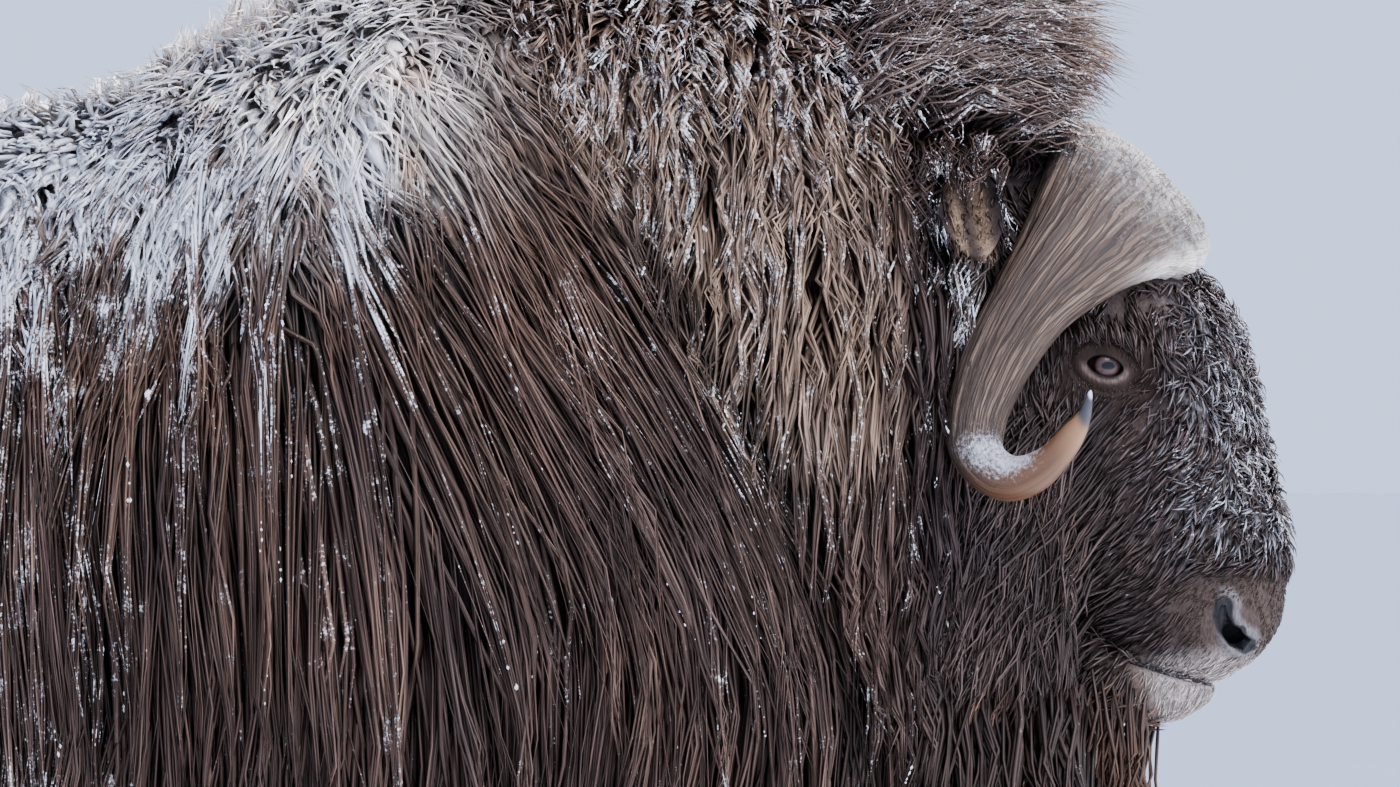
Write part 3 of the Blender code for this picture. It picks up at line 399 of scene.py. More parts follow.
def turn_out(bm):
    """Turns the faces of a closed mesh outward."""
    bm.normal_update()
    bmesh.ops.recalc_face_normals(bm, faces=bm.faces)


def triangulate(bm):
    bmesh.ops.triangulate(bm, faces=bm.faces)


def band_tris(first, second, columns):
    """Triangles between two rings of points, each given by the number of its first point."""
    k = np.arange(columns)
    n = (k + 1) % columns
    return [
        np.stack((first + k, first + n, second + n), axis=-1),
        np.stack((first + k, second + n, second + k), axis=-1),
    ]


def grid_tris(rows, columns):
    """Triangles of a closed loft of rows of points, with one more point at each end."""
    k = np.arange(columns)
    n = (k + 1) % columns
    last = (rows - 1) * columns
    parts = []
    for row in range(rows - 1):
        parts += band_tris(row * columns, (row + 1) * columns, columns)
    parts.append(np.stack((np.full(columns, rows * columns), n, k), axis=-1))
    parts.append(np.stack((np.full(columns, rows * columns + 1), last + k, last + n), axis=-1))
    return np.concatenate(parts)


def loft(name, rings):
    """A closed skin through an array of rings."""
    rows, columns = rings.shape[:2]
    ends = np.stack((rings[0].mean(axis=0), rings[-1].mean(axis=0)))
    verts = np.concatenate((rings.reshape(-1, 3), ends))
    return object_from(name, edit(mesh_from(name, verts, grid_tris(rows, columns)), turn_out))


def rib_rings(table, count, sides, shrink=0.0):
    """Rings of the head or jaw, whose ribs lie between a forward and a rear point."""
    table = with_station(table)
    rows = read_rows(table, np.linspace(0, len(table) - 1, count))
    front = points_at(rows[:, 1], 0.0, rows[:, 2])
    rear = points_at(rows[:, 3], 0.0, rows[:, 4])
    middle, reach = (front + rear) / 2, (front - rear) / 2
    length = np.linalg.norm(reach, axis=1, keepdims=True)
    reach = reach * np.maximum(0.2, 1 - shrink / length)
    half = np.maximum(rows[:, 5] - shrink, 0.2 * rows[:, 5])
    ahead, side = oval(circle(sides)[None], rows[:, 6][:, None])
    rings = middle[:, None] + reach[:, None] * ahead[..., None]
    rings[..., 1] += side * half[:, None]
    return rings


def ellipsoid(name, centre, size, segments=32, rings=20):
    bm = bmesh.new()
    bmesh.ops.create_uvsphere(bm, u_segments=segments, v_segments=rings, radius=1)
    for vert in bm.verts:
        vert.co = Vector(centre) + Vector([along * reach for along, reach in zip(vert.co, size)])
    triangulate(bm)
    mesh = bpy.data.meshes.new(name)
    bm.to_mesh(mesh)
    bm.free()
    mesh.shade_smooth()
    return object_from(name, mesh)


def tube(name, points, radii, closed=False, sides=12):
    """A tube through points, for rims, folds and cutters."""
    points = np.asarray(points, dtype=float)
    radii = np.broadcast_to(np.asarray(radii, dtype=float), (len(points),))
    if closed:
        ahead = np.roll(points, -1, axis=0) - np.roll(points, 1, axis=0)
    else:
        ahead = np.gradient(points, axis=0)
    ahead = unit(ahead)
    aside = unit(np.cross(ahead, np.array((0.0, 1.0, 0.02))))
    up = np.cross(aside, ahead)
    angle = circle(sides)
    rings = (
        points[:, None]
        + aside[:, None] * np.cos(angle)[None, :, None] * radii[:, None, None]
        + up[:, None] * np.sin(angle)[None, :, None] * radii[:, None, None]
    )
    if not closed:
        return loft(name, rings)
    parts = []
    for row in range(len(points)):
        parts += band_tris(row * sides, (row + 1) % len(points) * sides, sides)
    mesh = mesh_from(name, rings.reshape(-1, 3), np.concatenate(parts))
    return object_from(name, edit(mesh, turn_out))


def applied(obj):
    """Puts the result of an object's modifiers into its mesh."""
    bpy.context.view_layer.update()
    graph = bpy.context.evaluated_depsgraph_get()
    mesh = bpy.data.meshes.new_from_object(obj.evaluated_get(graph))
    obj.modifiers.clear()
    obj.data = mesh
    return obj


def boolean(obj, other, operation):
    modifier = obj.modifiers.new(operation.lower(), "BOOLEAN")
    modifier.operation = operation
    modifier.solver = "MANIFOLD"
    modifier.object = other
    applied(obj)
    bpy.data.objects.remove(other)
    return obj


def joined(name, objects):
    """One object from the meshes of several."""
    bm = bmesh.new()
    for obj in objects:
        bm.from_mesh(obj.data)
        bpy.data.objects.remove(obj)
    mesh = bpy.data.meshes.new(name)
    bm.to_mesh(mesh)
    bm.free()
    return object_from(name, mesh)


def remeshed(obj, voxel, smooth):
    modifier = obj.modifiers.new("voxels", "REMESH")
    modifier.mode = "VOXEL"
    modifier.voxel_size = voxel
    modifier = obj.modifiers.new("smooth", "SMOOTH")
    modifier.iterations = smooth
    modifier.factor = 0.5
    return applied(obj)


def coords(mesh, key="co"):
    """The places of a mesh's points, or another vector of each."""
    values = np.empty(len(mesh.vertices) * 3, dtype=np.float32)
    mesh.vertices.foreach_get(key, values)
    return values.reshape(-1, 3).astype(float)


def set_coords(mesh, values):
    mesh.vertices.foreach_set("co", flat(values))
    mesh.update()


def set_colour(mesh, name, rgba):
    mesh.attributes.new(name, "FLOAT_COLOR", "POINT").data.foreach_set("color", flat(rgba))


def set_uv(mesh, name, values):
    mesh.uv_layers.new(name=name).uv.foreach_set("vector", flat(values))


def subdivide_near(mesh, centres, reach):
    """Halves the edges of a mesh near some points."""

    def change(bm):
        chosen = []
        for edge in bm.edges:
            middle = (edge.verts[0].co + edge.verts[1].co) / 2
            if any((middle - centre).length < reach for centre in centres):
                chosen.append(edge)
        bmesh.ops.subdivide_edges(bm, edges=chosen, cuts=1, use_grid_fill=True)
        bmesh.ops.triangulate(bm, faces=[f for f in bm.faces if len(f.verts) > 4])

    edit(mesh, change)


def tree_of(*meshes):
    """A search tree over the faces of one or more meshes."""
    verts, faces = [], []
    for mesh in meshes:
        start = len(verts)
        faces += [[start + v for v in face.vertices] for face in mesh.polygons]
        verts += [Vector(point) for point in coords(mesh)]
    return BVHTree.FromPolygons(verts, faces)


def distance_to_path(points, path):
    """The distance of points from a polyline."""
    best = np.full(len(points), 1e9)
    for a, b in zip(path[:-1], path[1:]):
        along = b - a
        t = np.clip(((points - a) @ along) / (along @ along), 0, 1)
        best = np.minimum(best, np.linalg.norm(points - a - t[:, None] * along, axis=1))
    return best


# The skin


def mouth_height(x):
    xs, zs = zip(*MOUTH_LINE)
    return np.interp(x, xs, zs)


def on_side(tree, x, z, side):
    """The point of a surface that is seen from the side at x and z."""
    hit = tree.ray_cast(Vector((x, side * 1.0, z)), Vector((0, -side, 0)))
    return hit[0]


def almond(centre, side, radius, half_length, half_opening, count=40):
    """A closed path round the eye's opening, on a sphere about its centre."""
    points = []
    for k in range(count):
        angle = 2 * math.pi * k / count
        along = half_length * math.cos(angle)
        up = half_opening * math.sin(angle) * abs(math.sin(angle)) ** 0.25
        up -= EYE_SLANT * along
        out = math.sqrt(max(radius**2 - along**2 - up**2, 0.3 * radius**2))
        points.append(centre + Vector((along, side * out, up)))
    return points


def from_eye(points):
    """How far points lie ahead of the eyes and above their slanted axis, seen from the side."""
    ahead = points[:, 0] - EYE_CENTRE.x
    return ahead, points[:, 2] - EYE_CENTRE.z + EYE_SLANT * ahead


def eye_ring(points):
    """The distance of points from the middle of an eye, measured as an oval."""
    ahead, up = from_eye(points)
    return np.sqrt((ahead / 1.45) ** 2 + up**2)


def eye_centre(side):
    return EYE_CENTRE * Vector((1, side, 1))


def nostril_depth(side):
    """From the middle of a nostril's rim to the middle of the hole behind it."""
    return 0.006, -side * 0.013, -0.003


def head_form():
    """Skull, jaw and lids as one mesh of even faces, finer at the eyes, lips and nose."""
    skull = loft("skull", rib_rings(HEAD_RIBS, 110, 96, FACE_HAIR_DEPTH))
    jaw = loft("jaw", rib_rings(JAW_RIBS, 50, 64, 0.002))
    size = (EYE_RADIUS + 0.0075, EYE_RADIUS + 0.0040, EYE_RADIUS + 0.0055)
    lids = [ellipsoid("lids", eye_centre(side), size) for side in SIDES]
    head = remeshed(joined("head_skin", [skull, jaw] + lids), 0.0030, 7)
    lips = [Vector((0.99, 0.045 * side, 0.690)) for side in SIDES] + [Vector((1.03, 0, 0.69))]
    noses = [Vector((1.022, 0.060 * side, 0.722)) for side in SIDES]
    subdivide_near(head.data, [eye_centre(side) for side in SIDES], 0.048)
    subdivide_near(head.data, lips + noses, 0.055)
    return head


def head_relief(head):
    """How far out each point of the head moves, for its lips, nose, folds and grain."""
    points = coords(head.data)
    x, y, z = points.T
    lift = np.zeros(len(points))

    # The line of the mouth, with the lips full on both sides of it
    front = ramp(x, 0.915, 0.940)
    above = z - mouth_height(x)
    lift -= front * 0.0065 * bell(above, 0, 0.0022)
    lift += front * 0.0022 * bell(above, 0.010, 0.006)
    lift += front * 0.0026 * bell(above, -0.009, 0.006)

    # The pad between the nostrils is parted in the middle, and the nose is finely wrinkled
    nose = ramp(x, 1.015, 1.050) * until(z, 0.745, 0.775) * ramp(z, 0.672, 0.690)
    lift -= nose * 0.0022 * bell(y, 0, 0.0028)
    lift += nose * 0.0012 * (lattice_noise(points, 240, 3) - 0.5)

    # Folds round the eye, a brow over it and a duct before it
    along, up = from_eye(points)
    ring = np.sqrt((along / 1.35) ** 2 + up**2)
    duct = np.sqrt(((along - 0.034) / 1.8) ** 2 + (up + 0.012) ** 2)
    for side in SIDES:
        near = (np.abs(y - eye_centre(side).y) < 0.04).astype(float)
        lift += near * 0.0050 * bell(ring, 0.032, 0.007) * ramp(up, 0.0, 0.02)
        lift -= near * 0.0018 * bell(ring, 0.0235, 0.0024)
        lift -= near * 0.0009 * bell(ring, 0.0300, 0.0022) * ramp(-up, 0, 0.01)
        lift -= near * 0.0050 * bell(duct, 0, 0.007)

    # A full rim round each nostril
    flat_tree = tree_of(head.data)
    for side in SIDES:
        rim = np.array([on_side(flat_tree, px, pz, side) for px, pz in NOSTRIL_PATH])
        away = distance_to_path(points, rim)
        lift += 0.0034 * bell(away, 0.0105, 0.0042) * ramp(x, 1.000, 1.018)

    # Slow swells, as skin has
    return lift + 0.0022 * (lattice_noise(points, 45, 5) - 0.5)


def cut_nostril(head, path, side):
    boolean(head, tube("nostril", path, (0.0032, 0.0056, 0.0072, 0.0086, 0.0062)), "DIFFERENCE")
    deep = path[2] + Vector(nostril_depth(side))
    boolean(head, ellipsoid("nostril_depth", deep, (0.012, 0.014, 0.011)), "DIFFERENCE")


def open_eye(head, side):
    """A socket, an almond opening and the rim of the lids round it."""
    eye = eye_centre(side)
    boolean(head, ellipsoid("socket", eye, (EYE_RADIUS + 0.0005,) * 3, 48, 32), "DIFFERENCE")
    inner = almond(eye, side, EYE_RADIUS * 0.6, 0.0165, 0.0098)
    outer = almond(eye, side, EYE_RADIUS * 2.2, 0.0172, 0.0104)
    boolean(head, loft("opening", np.array((inner, outer))), "DIFFERENCE")
    rim = almond(eye, side, EYE_RADIUS + 0.0018, 0.0182, 0.0114)
    boolean(head, tube("rim", rim, 0.0024, closed=True), "UNION")


def make_head():
    """The head's skin, and the line of each nostril on it."""
    head = head_form()
    outward = coords(head.data, "normal")
    set_coords(head.data, coords(head.data) + outward * head_relief(head)[:, None])
    tree = tree_of(head.data)
    paths = []
    for side in SIDES:
        path = [on_side(tree, px, pz, side) + Vector((0, side * 0.002, 0)) for px, pz in NOSTRIL_PATH]
        cut_nostril(head, path, side)
        paths.append(np.array(path))
    for side in SIDES:
        open_eye(head, side)
    return head, paths


def make_ear(side):
    """A leaf-shaped ear with its cup turned out and forward."""
    flip = np.array((1, side, 1))
    root, tip = EAR_ROOT * flip, EAR_TIP * flip
    along = tip - root
    wide = np.array((1.0, 0, 0)) - along * along[0] / (along @ along)
    wide = wide / np.linalg.norm(wide)
    out = np.cross(along / np.linalg.norm(along), wide)
    if out[1] * side < 0:
        out = -out
    rings = []
    for share in np.linspace(0, 1, 34):
        width = EAR_HALF_WIDTH * (0.60 + 0.40 * math.sin(min(1, share / 0.5) * math.pi / 2))
        width *= (1 - max(0.0, share - 0.45) ** 1.7 / 0.55**1.7) ** 0.7 + 0.03
        thick = EAR_HALF_THICKNESS * (0.35 + 0.65 * width / EAR_HALF_WIDTH)
        ring = []
        for k in range(40):
            angle = 2 * math.pi * k / 40
            across, height = math.cos(angle), math.sin(angle)
            cup = (1 - across**2) * (1 - abs(2 * share - 1) ** 3)
            depth = thick * height - (1.45 * thick * cup if height > 0 else 0.35 * thick * cup)
            ring.append(root + along * share + wide * across * width + out * depth)
        rings.append(ring)
    return loft("ear_skin", np.array(rings))


def make_leg(form, foot_x, foot_y, sides=48, count=60):
    rows = read_rows(form, np.linspace(form[0, 0], form[-1, 0], count))
    ahead, aside = oval(circle(sides), 2.2)
    ahead = ahead[None] * (rows[:, 2:3] - LEG_HAIR_DEPTH)
    aside = aside[None] * (rows[:, 3:4] - LEG_HAIR_DEPTH)
    return loft("leg_skin", points_at(foot_x + rows[:, 1:2] + ahead, foot_y + aside, rows[:, :1]))


def make_tail():
    spots = np.linspace(0, 1, 12)
    middle = [np.array(TAIL_ROOT + (TAIL_TIP - TAIL_ROOT) * t) + (0.016, 0, 0) for t in spots]
    radii = [0.024 * math.sqrt(1 - t**3) + 0.002 for t in spots]
    return tube("tail_skin", middle, radii, sides=20)


def make_skin(head):
    """Trunk, head, ears, legs and tail in one skin."""
    rump = station_of(np.linspace(-RUMP_ARC * 0.97, 0, 26))[:-1]
    stations = np.concatenate((rump, np.linspace(RUMP_START, 0.86, 130)))
    skin = loft("skin", ring_points(stations, SKIN_SHARE, 112))
    for form, foot_x, foot_y in FEET.values():
        boolean(skin, make_leg(form, foot_x, foot_y), "UNION")
    boolean(skin, make_tail(), "UNION")
    for side in SIDES:
        boolean(head, make_ear(side), "UNION")
    boolean(skin, head, "UNION")
    skin.name = "skin"
    edit(skin.data, triangulate)
    skin.data.shade_smooth()
    return skin


# Where the coat has which colour


def side_line(z):
    """Where the mane ends over the shoulder at a height."""
    return 0.440 + (1.124 - z) * 0.594


def dyed(rgb, colour, share):
    """Colours mixed towards another one, by a share for each point."""
    return mix(rgb, np.asarray(colour), share[:, None])


def trunk_markings(points):
    """Hair colour at the root, darkened as painted shade deep in the coat, and at the tip, and frost, at
    points of the trunk's coat.
    """
    x, y, z = points.T
    slow = lattice_noise(points, 6, 1)
    mid = lattice_noise(points, 22, 2)

    tip = dyed(DARK, BROWN, 0.15 + 1.90 * mid * slow + 0.20 * until(z, 0.50, 0.85))
    # Roots darker than tips: painted shade deep in the coat
    root = DARK * 0.50 + tip * 0.22
    # Flank hair is redder under the saddle
    rusty = ramp(z, 0.66, 0.90) * until(x, 0.30, 0.55) * ramp(mid, 0.2, 0.7)
    tip = dyed(tip, RUST, 0.65 * rusty)

    # The fleece of the saddle, cream where it curls up in front of the hump
    edge = 1.04 + 0.07 * (slow - 0.5) + 0.10 * ramp(x, 0.12, 0.40)
    fleece = ramp(z, edge - 0.05, edge + 0.07) * until(x, 0.32, 0.48)
    tip = dyed(tip, dyed(BROWN * 1.5, GREY_BROWN, mid), 0.9 * fleece)
    curls_low = 1.19 - 0.06 * ramp(x, 0.02, 0.24) + 0.05 * (slow - 0.5)
    curls = ramp(x, -0.06, 0.06) * until(x, 0.24, 0.40) * ramp(z, curls_low - 0.02, curls_low + 0.03)
    tip = dyed(tip, dyed(TAN * 2.4, CREAM * 1.14, ramp(mid, 0.05, 0.4)), 0.95 * curls)
    root = dyed(root, CREAM * 0.55, 0.85 * fleece)
    root = dyed(root, CREAM * 0.90, 0.90 * curls)
    # Cream wool along the spine, and brown flecks where the frost has come off
    spine = until(np.abs(y) + 0.04 * (slow - 0.5), 0.055, 0.105) * until(x, 0.30, 0.42)
    spine = spine * ramp(z, 1.08, 1.14) * ramp(x, -0.86, -0.66)
    tip = dyed(tip, dyed(CREAM * 0.85, CREAM * 1.05, mid), 0.85 * spine)
    root = dyed(root, CREAM * 0.80, 0.85 * spine)
    flecks = ramp(lattice_noise(points, 75, 11), 0.56, 0.66) * fleece * (1 - spine) * (1 - curls)
    tip = dyed(tip, BROWN * 1.4, 0.7 * flecks)

    # The hump's top, grey brown
    hump = ramp(z, 1.13, 1.22) * ramp(x, 0.30, 0.44)
    tip = dyed(tip, dyed(NAPE, TAN, 0.15 + 0.55 * mid), hump)
    root = dyed(root, NAPE * 0.5, hump)

    # The tan mane between the shoulder and the dark hair behind the horn
    line = side_line(z)
    mane = ramp(x, line - 0.03, line) * until(x, 0.685, 0.735) * ramp(z, 0.78, 0.92)
    mane = mane * (1 - 0.6 * ramp(z, 1.18, 1.26))
    tip = dyed(tip, dyed(GREY_BROWN, TAN, 0.25 + 0.70 * mid) * 0.92, mane * 0.96)
    # The mane's dark roots are painted shade under the overlapping locks
    root = dyed(root, BROWN * 0.6, mane)
    # A painted shadow runs between the shoulder's hair and the mane, where the mane's tips overhang
    ahead = x - line - 0.010 * (mid - 0.5)
    shadow_gap = ramp(ahead, -0.012, 0.002) * until(ahead, 0.018, 0.032)
    shadow_gap = shadow_gap * ramp(z, 0.76, 0.84) * until(z, 1.06, 1.11)
    tip = dyed(tip, DARK * 0.30, 0.88 * shadow_gap)
    root = dyed(root, DARK * 0.20, 0.9 * shadow_gap)
    # Under the hump the shoulder is a warm brown
    warm = ramp(z, 1.03, 1.08) * until(z, 1.16, 1.20) * ramp(x, 0.25, 0.31) * until(ahead, -0.03, -0.01)
    nape = ramp(x, 0.60, 0.72) * ramp(z, 1.18, 1.23)
    for colour, share in (
        (RUST, 0.55 * warm),
        (DARK * 0.8, ramp(x, 0.705, 0.745) * until(z, 1.18, 1.23)),
        (NAPE, 0.8 * nape),
        (BROWN * 0.5, 0.8 * ramp(x, 0.62, 0.68) * until(z, 0.62, 0.74)),
    ):
        tip = dyed(tip, colour, share)

    # The frost of the saddle reaches farthest forward high up
    fore = 0.20 + 0.09 * ramp(z, 1.00, 1.10)
    back = until(x, fore - 0.07, fore + 0.06)
    frost = 0.045 + 0.12 * (slow - 0.5) + 0.03 * ramp(z, 0.6, 0.9)
    # Frost runs down the locks in streaks below the saddle
    streaks = lattice_noise(points * STREAK_SQUEEZE, 42, 9)
    uneven = 1 - 0.5 * ramp(z, 1.02, 1.10)
    ragged = z + 0.12 * (mid - 0.5) + 0.10 * (slow - 0.5) + 0.34 * uneven * (streaks - 0.5)
    frost = frost + 0.16 * ramp(ragged, 0.84, 0.98) * back
    frost = frost + 0.60 * ramp(ragged, 0.97, 1.13) * back
    frost = frost - 0.32 * curls * ramp(z, 1.14, 1.18) - 0.34 * spine - 0.26 * flecks
    frost = frost + 0.22 * ramp(z, 1.14, 1.22) * ramp(x, 0.28, 0.40) + 0.08 * nape
    frost = frost + 0.11 * mane * ramp(z, 0.95, 1.1) - 0.10 * shadow_gap - 0.06 * warm
    rear = until(x, -0.12, 0.03) * until(z, 0.70, 0.95)
    patchy = ramp(slow, 0.38, 0.60) * ramp(mid, 0.15, 0.55)
    frost = frost + rear * (0.15 + 0.19 * patchy)
    tip = dyed(tip, GREY_BROWN, 0.45 * rear * patchy)
    streaked = until(x, -0.04, 0.07) * ramp(x, -0.50, -0.20) * until(z, 0.72, 0.95)
    frost = frost + 0.30 * streaked * ramp(streaks, 0.40, 0.55)
    frost = frost + 0.10 * ramp(streaks, 0.60, 0.70) * ramp(mid, 0.3, 0.6) * until(x, 0.60, 0.75)
    # Little of it clings low down
    frost = np.minimum(frost, 0.31 + 0.69 * ramp(z, 0.78, 1.00))
    return root, tip, np.clip(frost, 0, 1)


def head_markings(points):
    """The same on the head, with the roots darkened as painted shade deep in the hair."""
    x, y, z = points.T
    mid = lattice_noise(points, 30, 7)
    tip = dyed(FACE, BROWN, 0.10 + 0.75 * mid**2)
    root = np.repeat(FACE[None] * 0.5, len(points), axis=0)
    # Paler and hoary towards the profile, where the light comes through
    profile = ramp(x, 0.97, 1.05) * ramp(z, 0.78, 0.84)
    tip = dyed(tip, GREY_BROWN, 0.55 * profile * mid)
    hoary = ramp(lattice_noise(points, 700, 8), 0.46, 0.70) * ramp(x, 0.93, 1.02) * ramp(z, 0.77, 0.82)
    tip = dyed(tip, HOARY, 0.88 * hoary)
    muzzle = ramp(x, 0.950, 0.995) * until(z, 0.750, 0.785)
    tip = dyed(tip, MUZZLE, 0.9 * muzzle)
    root = dyed(root, MUZZLE * 0.7, muzzle)
    lips = ramp(x, 0.915, 0.965) * until(z, 0.684, 0.712)
    tip = dyed(tip, LIP, lips)
    root = dyed(root, LIP * 0.8, lips)
    beard = until(x, 0.93, 0.96) * until(z, 0.66, 0.70)
    tip = dyed(tip, RUST, 0.7 * beard)
    frost = 0.08 + 0.12 * (mid - 0.5) + 0.20 * ramp(x, 0.930, 1.030) * ramp(z, 0.78, 0.83)
    frost = frost * (1 - 0.75 * np.maximum(lips, muzzle))
    return root, tip, np.clip(frost, 0, 1)


# Strands


def strand_tris(per):
    """Triangles of a strand of so many points: rings of three, and one point at the tip."""
    last = per - 4
    tris = [(0, 2, 1)]
    for a in range(0, last, 3):
        for c in range(3):
            n = (c + 1) % 3
            tris.append((a + c, a + n, a + 3 + n))
            tris.append((a + c, a + 3 + n, a + 3 + c))
    for c in range(3):
        tris.append((last + c, last + (c + 1) % 3, per - 1))
    return np.array(tris)


class Coat:
    """Gathers strands of hair until they become pieces."""

    def __init__(self, name, slot):
        self.name, self.slot = name, slot
        self.parts = []
        self.paths = []

    def add(self, rng, paths, outward, half_width, root_rgb, tip_rgb, frost, chart, flatness=0.5):
        """Strands along paths of points, wide across what faces outward."""
        count, steps = paths.shape[:2]
        t = np.linspace(0, 1, steps)
        ahead = unit(np.gradient(paths, axis=1))
        across = unit(np.cross(ahead, outward))
        turn = rng.uniform(-0.5, 0.5, (count, 1, 1))
        up = np.cross(across, ahead)
        across, up = across * np.cos(turn) + up * np.sin(turn), up * np.cos(turn) - across * np.sin(turn)
        profile = (np.minimum(1.0, 0.70 + 1.2 * t) * (1 - t**2.6) ** 0.75)[None, :, None]
        wide = across * half_width[:, None, None] * profile
        ridge = up * (half_width * flatness)[:, None, None] * profile * 2
        rings = np.stack((paths + wide, paths + ridge, paths - wide), axis=2)[:, :-1]
        verts = np.concatenate((rings.reshape(count, -1, 3), paths[:, -1:]), axis=1)

        # Where each point of a strand is: along it, in which of its rings, and across it
        at = np.append(np.repeat(t[:-1], 3), 1.0)
        ring = np.append(np.repeat(np.arange(steps - 1), 3), steps - 1)
        column = np.append(np.tile((0.0, 0.5, 1.0), steps - 1), 0.5)
        if frost.ndim == 1:
            marks = (root_rgb, tip_rgb, frost)
            root_rgb, tip_rgb, frost = (np.repeat(mark[:, None], steps, axis=1) for mark in marks)
        # Each strand runs from its root colour, darker as painted shade deep in the coat, to its tip colour
        rgb = mix(root_rgb[:, ring], tip_rgb[:, ring], np.clip(at * 1.3, 0, 1)[None, :, None])
        rgb = rgb * rng.uniform(0.80, 1.22, (count, 1, 1))
        low = 0.25 + 0.60 * ramp(frost[:, ring], 0.4, 0.7)
        frosty = frost[:, ring] * (low + (1 - low) * at[None]) * rng.uniform(0.6, 1.4, (count, 1))

        length = np.linalg.norm(np.diff(paths, axis=1), axis=2).sum(axis=1)
        span = np.stack((2 * half_width / STREAK, length), axis=1)[:, None]
        share = np.stack((column, at), axis=1)[None]
        self.parts.append({
            "verts": verts,
            "coat": np.concatenate((rgb, frosty[..., None]), axis=2),
            "OFBake": chart[:, None] + share * CHART_PATCH,
            "strand": rng.uniform(0, 50, (count, 1, 2)) + share * span,
        })
        self.paths.append((paths, outward, frost.mean(axis=1)))

    def finish(self, material):
        """Makes the pieces, each of no more than PIECE_LIMIT triangles."""
        made, held, size = [], [], 0
        for part in self.parts:
            count, per = part["verts"].shape[:2]
            each, start = len(strand_tris(per)), 0
            while start < count:
                room = (PIECE_LIMIT - size) // each
                if room <= 0:
                    made.append(held)
                    held, size = [], 0
                    continue
                stop = min(count, start + room)
                held.append({key: values[start:stop] for key, values in part.items()})
                size += (stop - start) * each
                start = stop
        made.append(held)
        for number, held in enumerate(made):
            self.build(f"{self.name}_{number + 1}", held, material)

    def build(self, name, held, material):
        """One piece of the groups of strands that it holds."""
        offset, tris = 0, []
        for part in held:
            count, per = part["verts"].shape[:2]
            first = offset + per * np.arange(count)
            tris.append((strand_tris(per)[None] + first[:, None, None]).reshape(-1, 3))
            offset += count * per
        tris = np.concatenate(tris)

        def values(key):
            return np.concatenate([part[key].reshape(-1, part[key].shape[-1]) for part in held])

        mesh = mesh_from(name, values("verts"), tris)
        set_colour(mesh, "coat", values("coat"))
        for key in ("OFBake", "strand"):
            set_uv(mesh, key, values(key)[tris.ravel()])
        mesh.materials.append(material)
        piece = object_from(name, mesh)
        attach(piece, "root")


def trunk_chart(u, fall, side):
    """The place of trunk hair on the unwrap of the skin: the two sides lie one over the other."""
    across = 0.02 + 0.94 * (u + RUMP_ARC) / (RUMP_ARC + 1.80)
    down = np.clip(fall / 2, 0, 1) * 0.46
    return np.stack((across, np.where(side > 0, 0.02 + down, 0.52 + down)), axis=-1)


@dataclass
class Style:
    """How the strands of one kind of lock are gathered and bent."""

    strands: int
    spread: float
    half_width: float
    steps: int = 6
    clump: float = 0.80
    wave: tuple = (0.002, 0.008)
    waves: tuple = (0.7, 1.6)
    root: float = 0.30
    power: float = 1.7
    ridge: float = 0.10
    flatness: float = 0.5
    loose: float = 0.10
    roll: float = 0.0


def flow_slope(x, z):
    """How far forward the hair runs for each metre that it drops."""
    shoulder = ramp(x, 0.12, 0.34) * until(x - side_line(z), -0.01, 0.02)
    swell = lattice_noise(points_at(x, 0.0, 0.6 * z), 9, 61) - 0.5
    return 0.60 * shoulder * ramp(z, 0.60, 0.90) - 0.03 + 0.34 * swell


def lock_lines(u, fall, side, drop, drift, t):
    """Where the middles of locks run: their distance along the side at each step down."""
    centre = np.empty((len(u), len(t)))
    centre[:, 0] = u
    for k in range(1, len(t)):
        x = station_of(centre[:, k - 1])
        before = coat_points(x, fall + drop * t[k - 1], 0.7, side)
        after = coat_points(x, fall + drop * t[k], 0.7, side)
        sunk = np.maximum(0, before[:, 2] - after[:, 2])
        slope = flow_slope(before[:, 0], before[:, 2])
        centre[:, k] = centre[:, k - 1] + slope * sunk + drift * (t[k] - t[k - 1])
    return centre


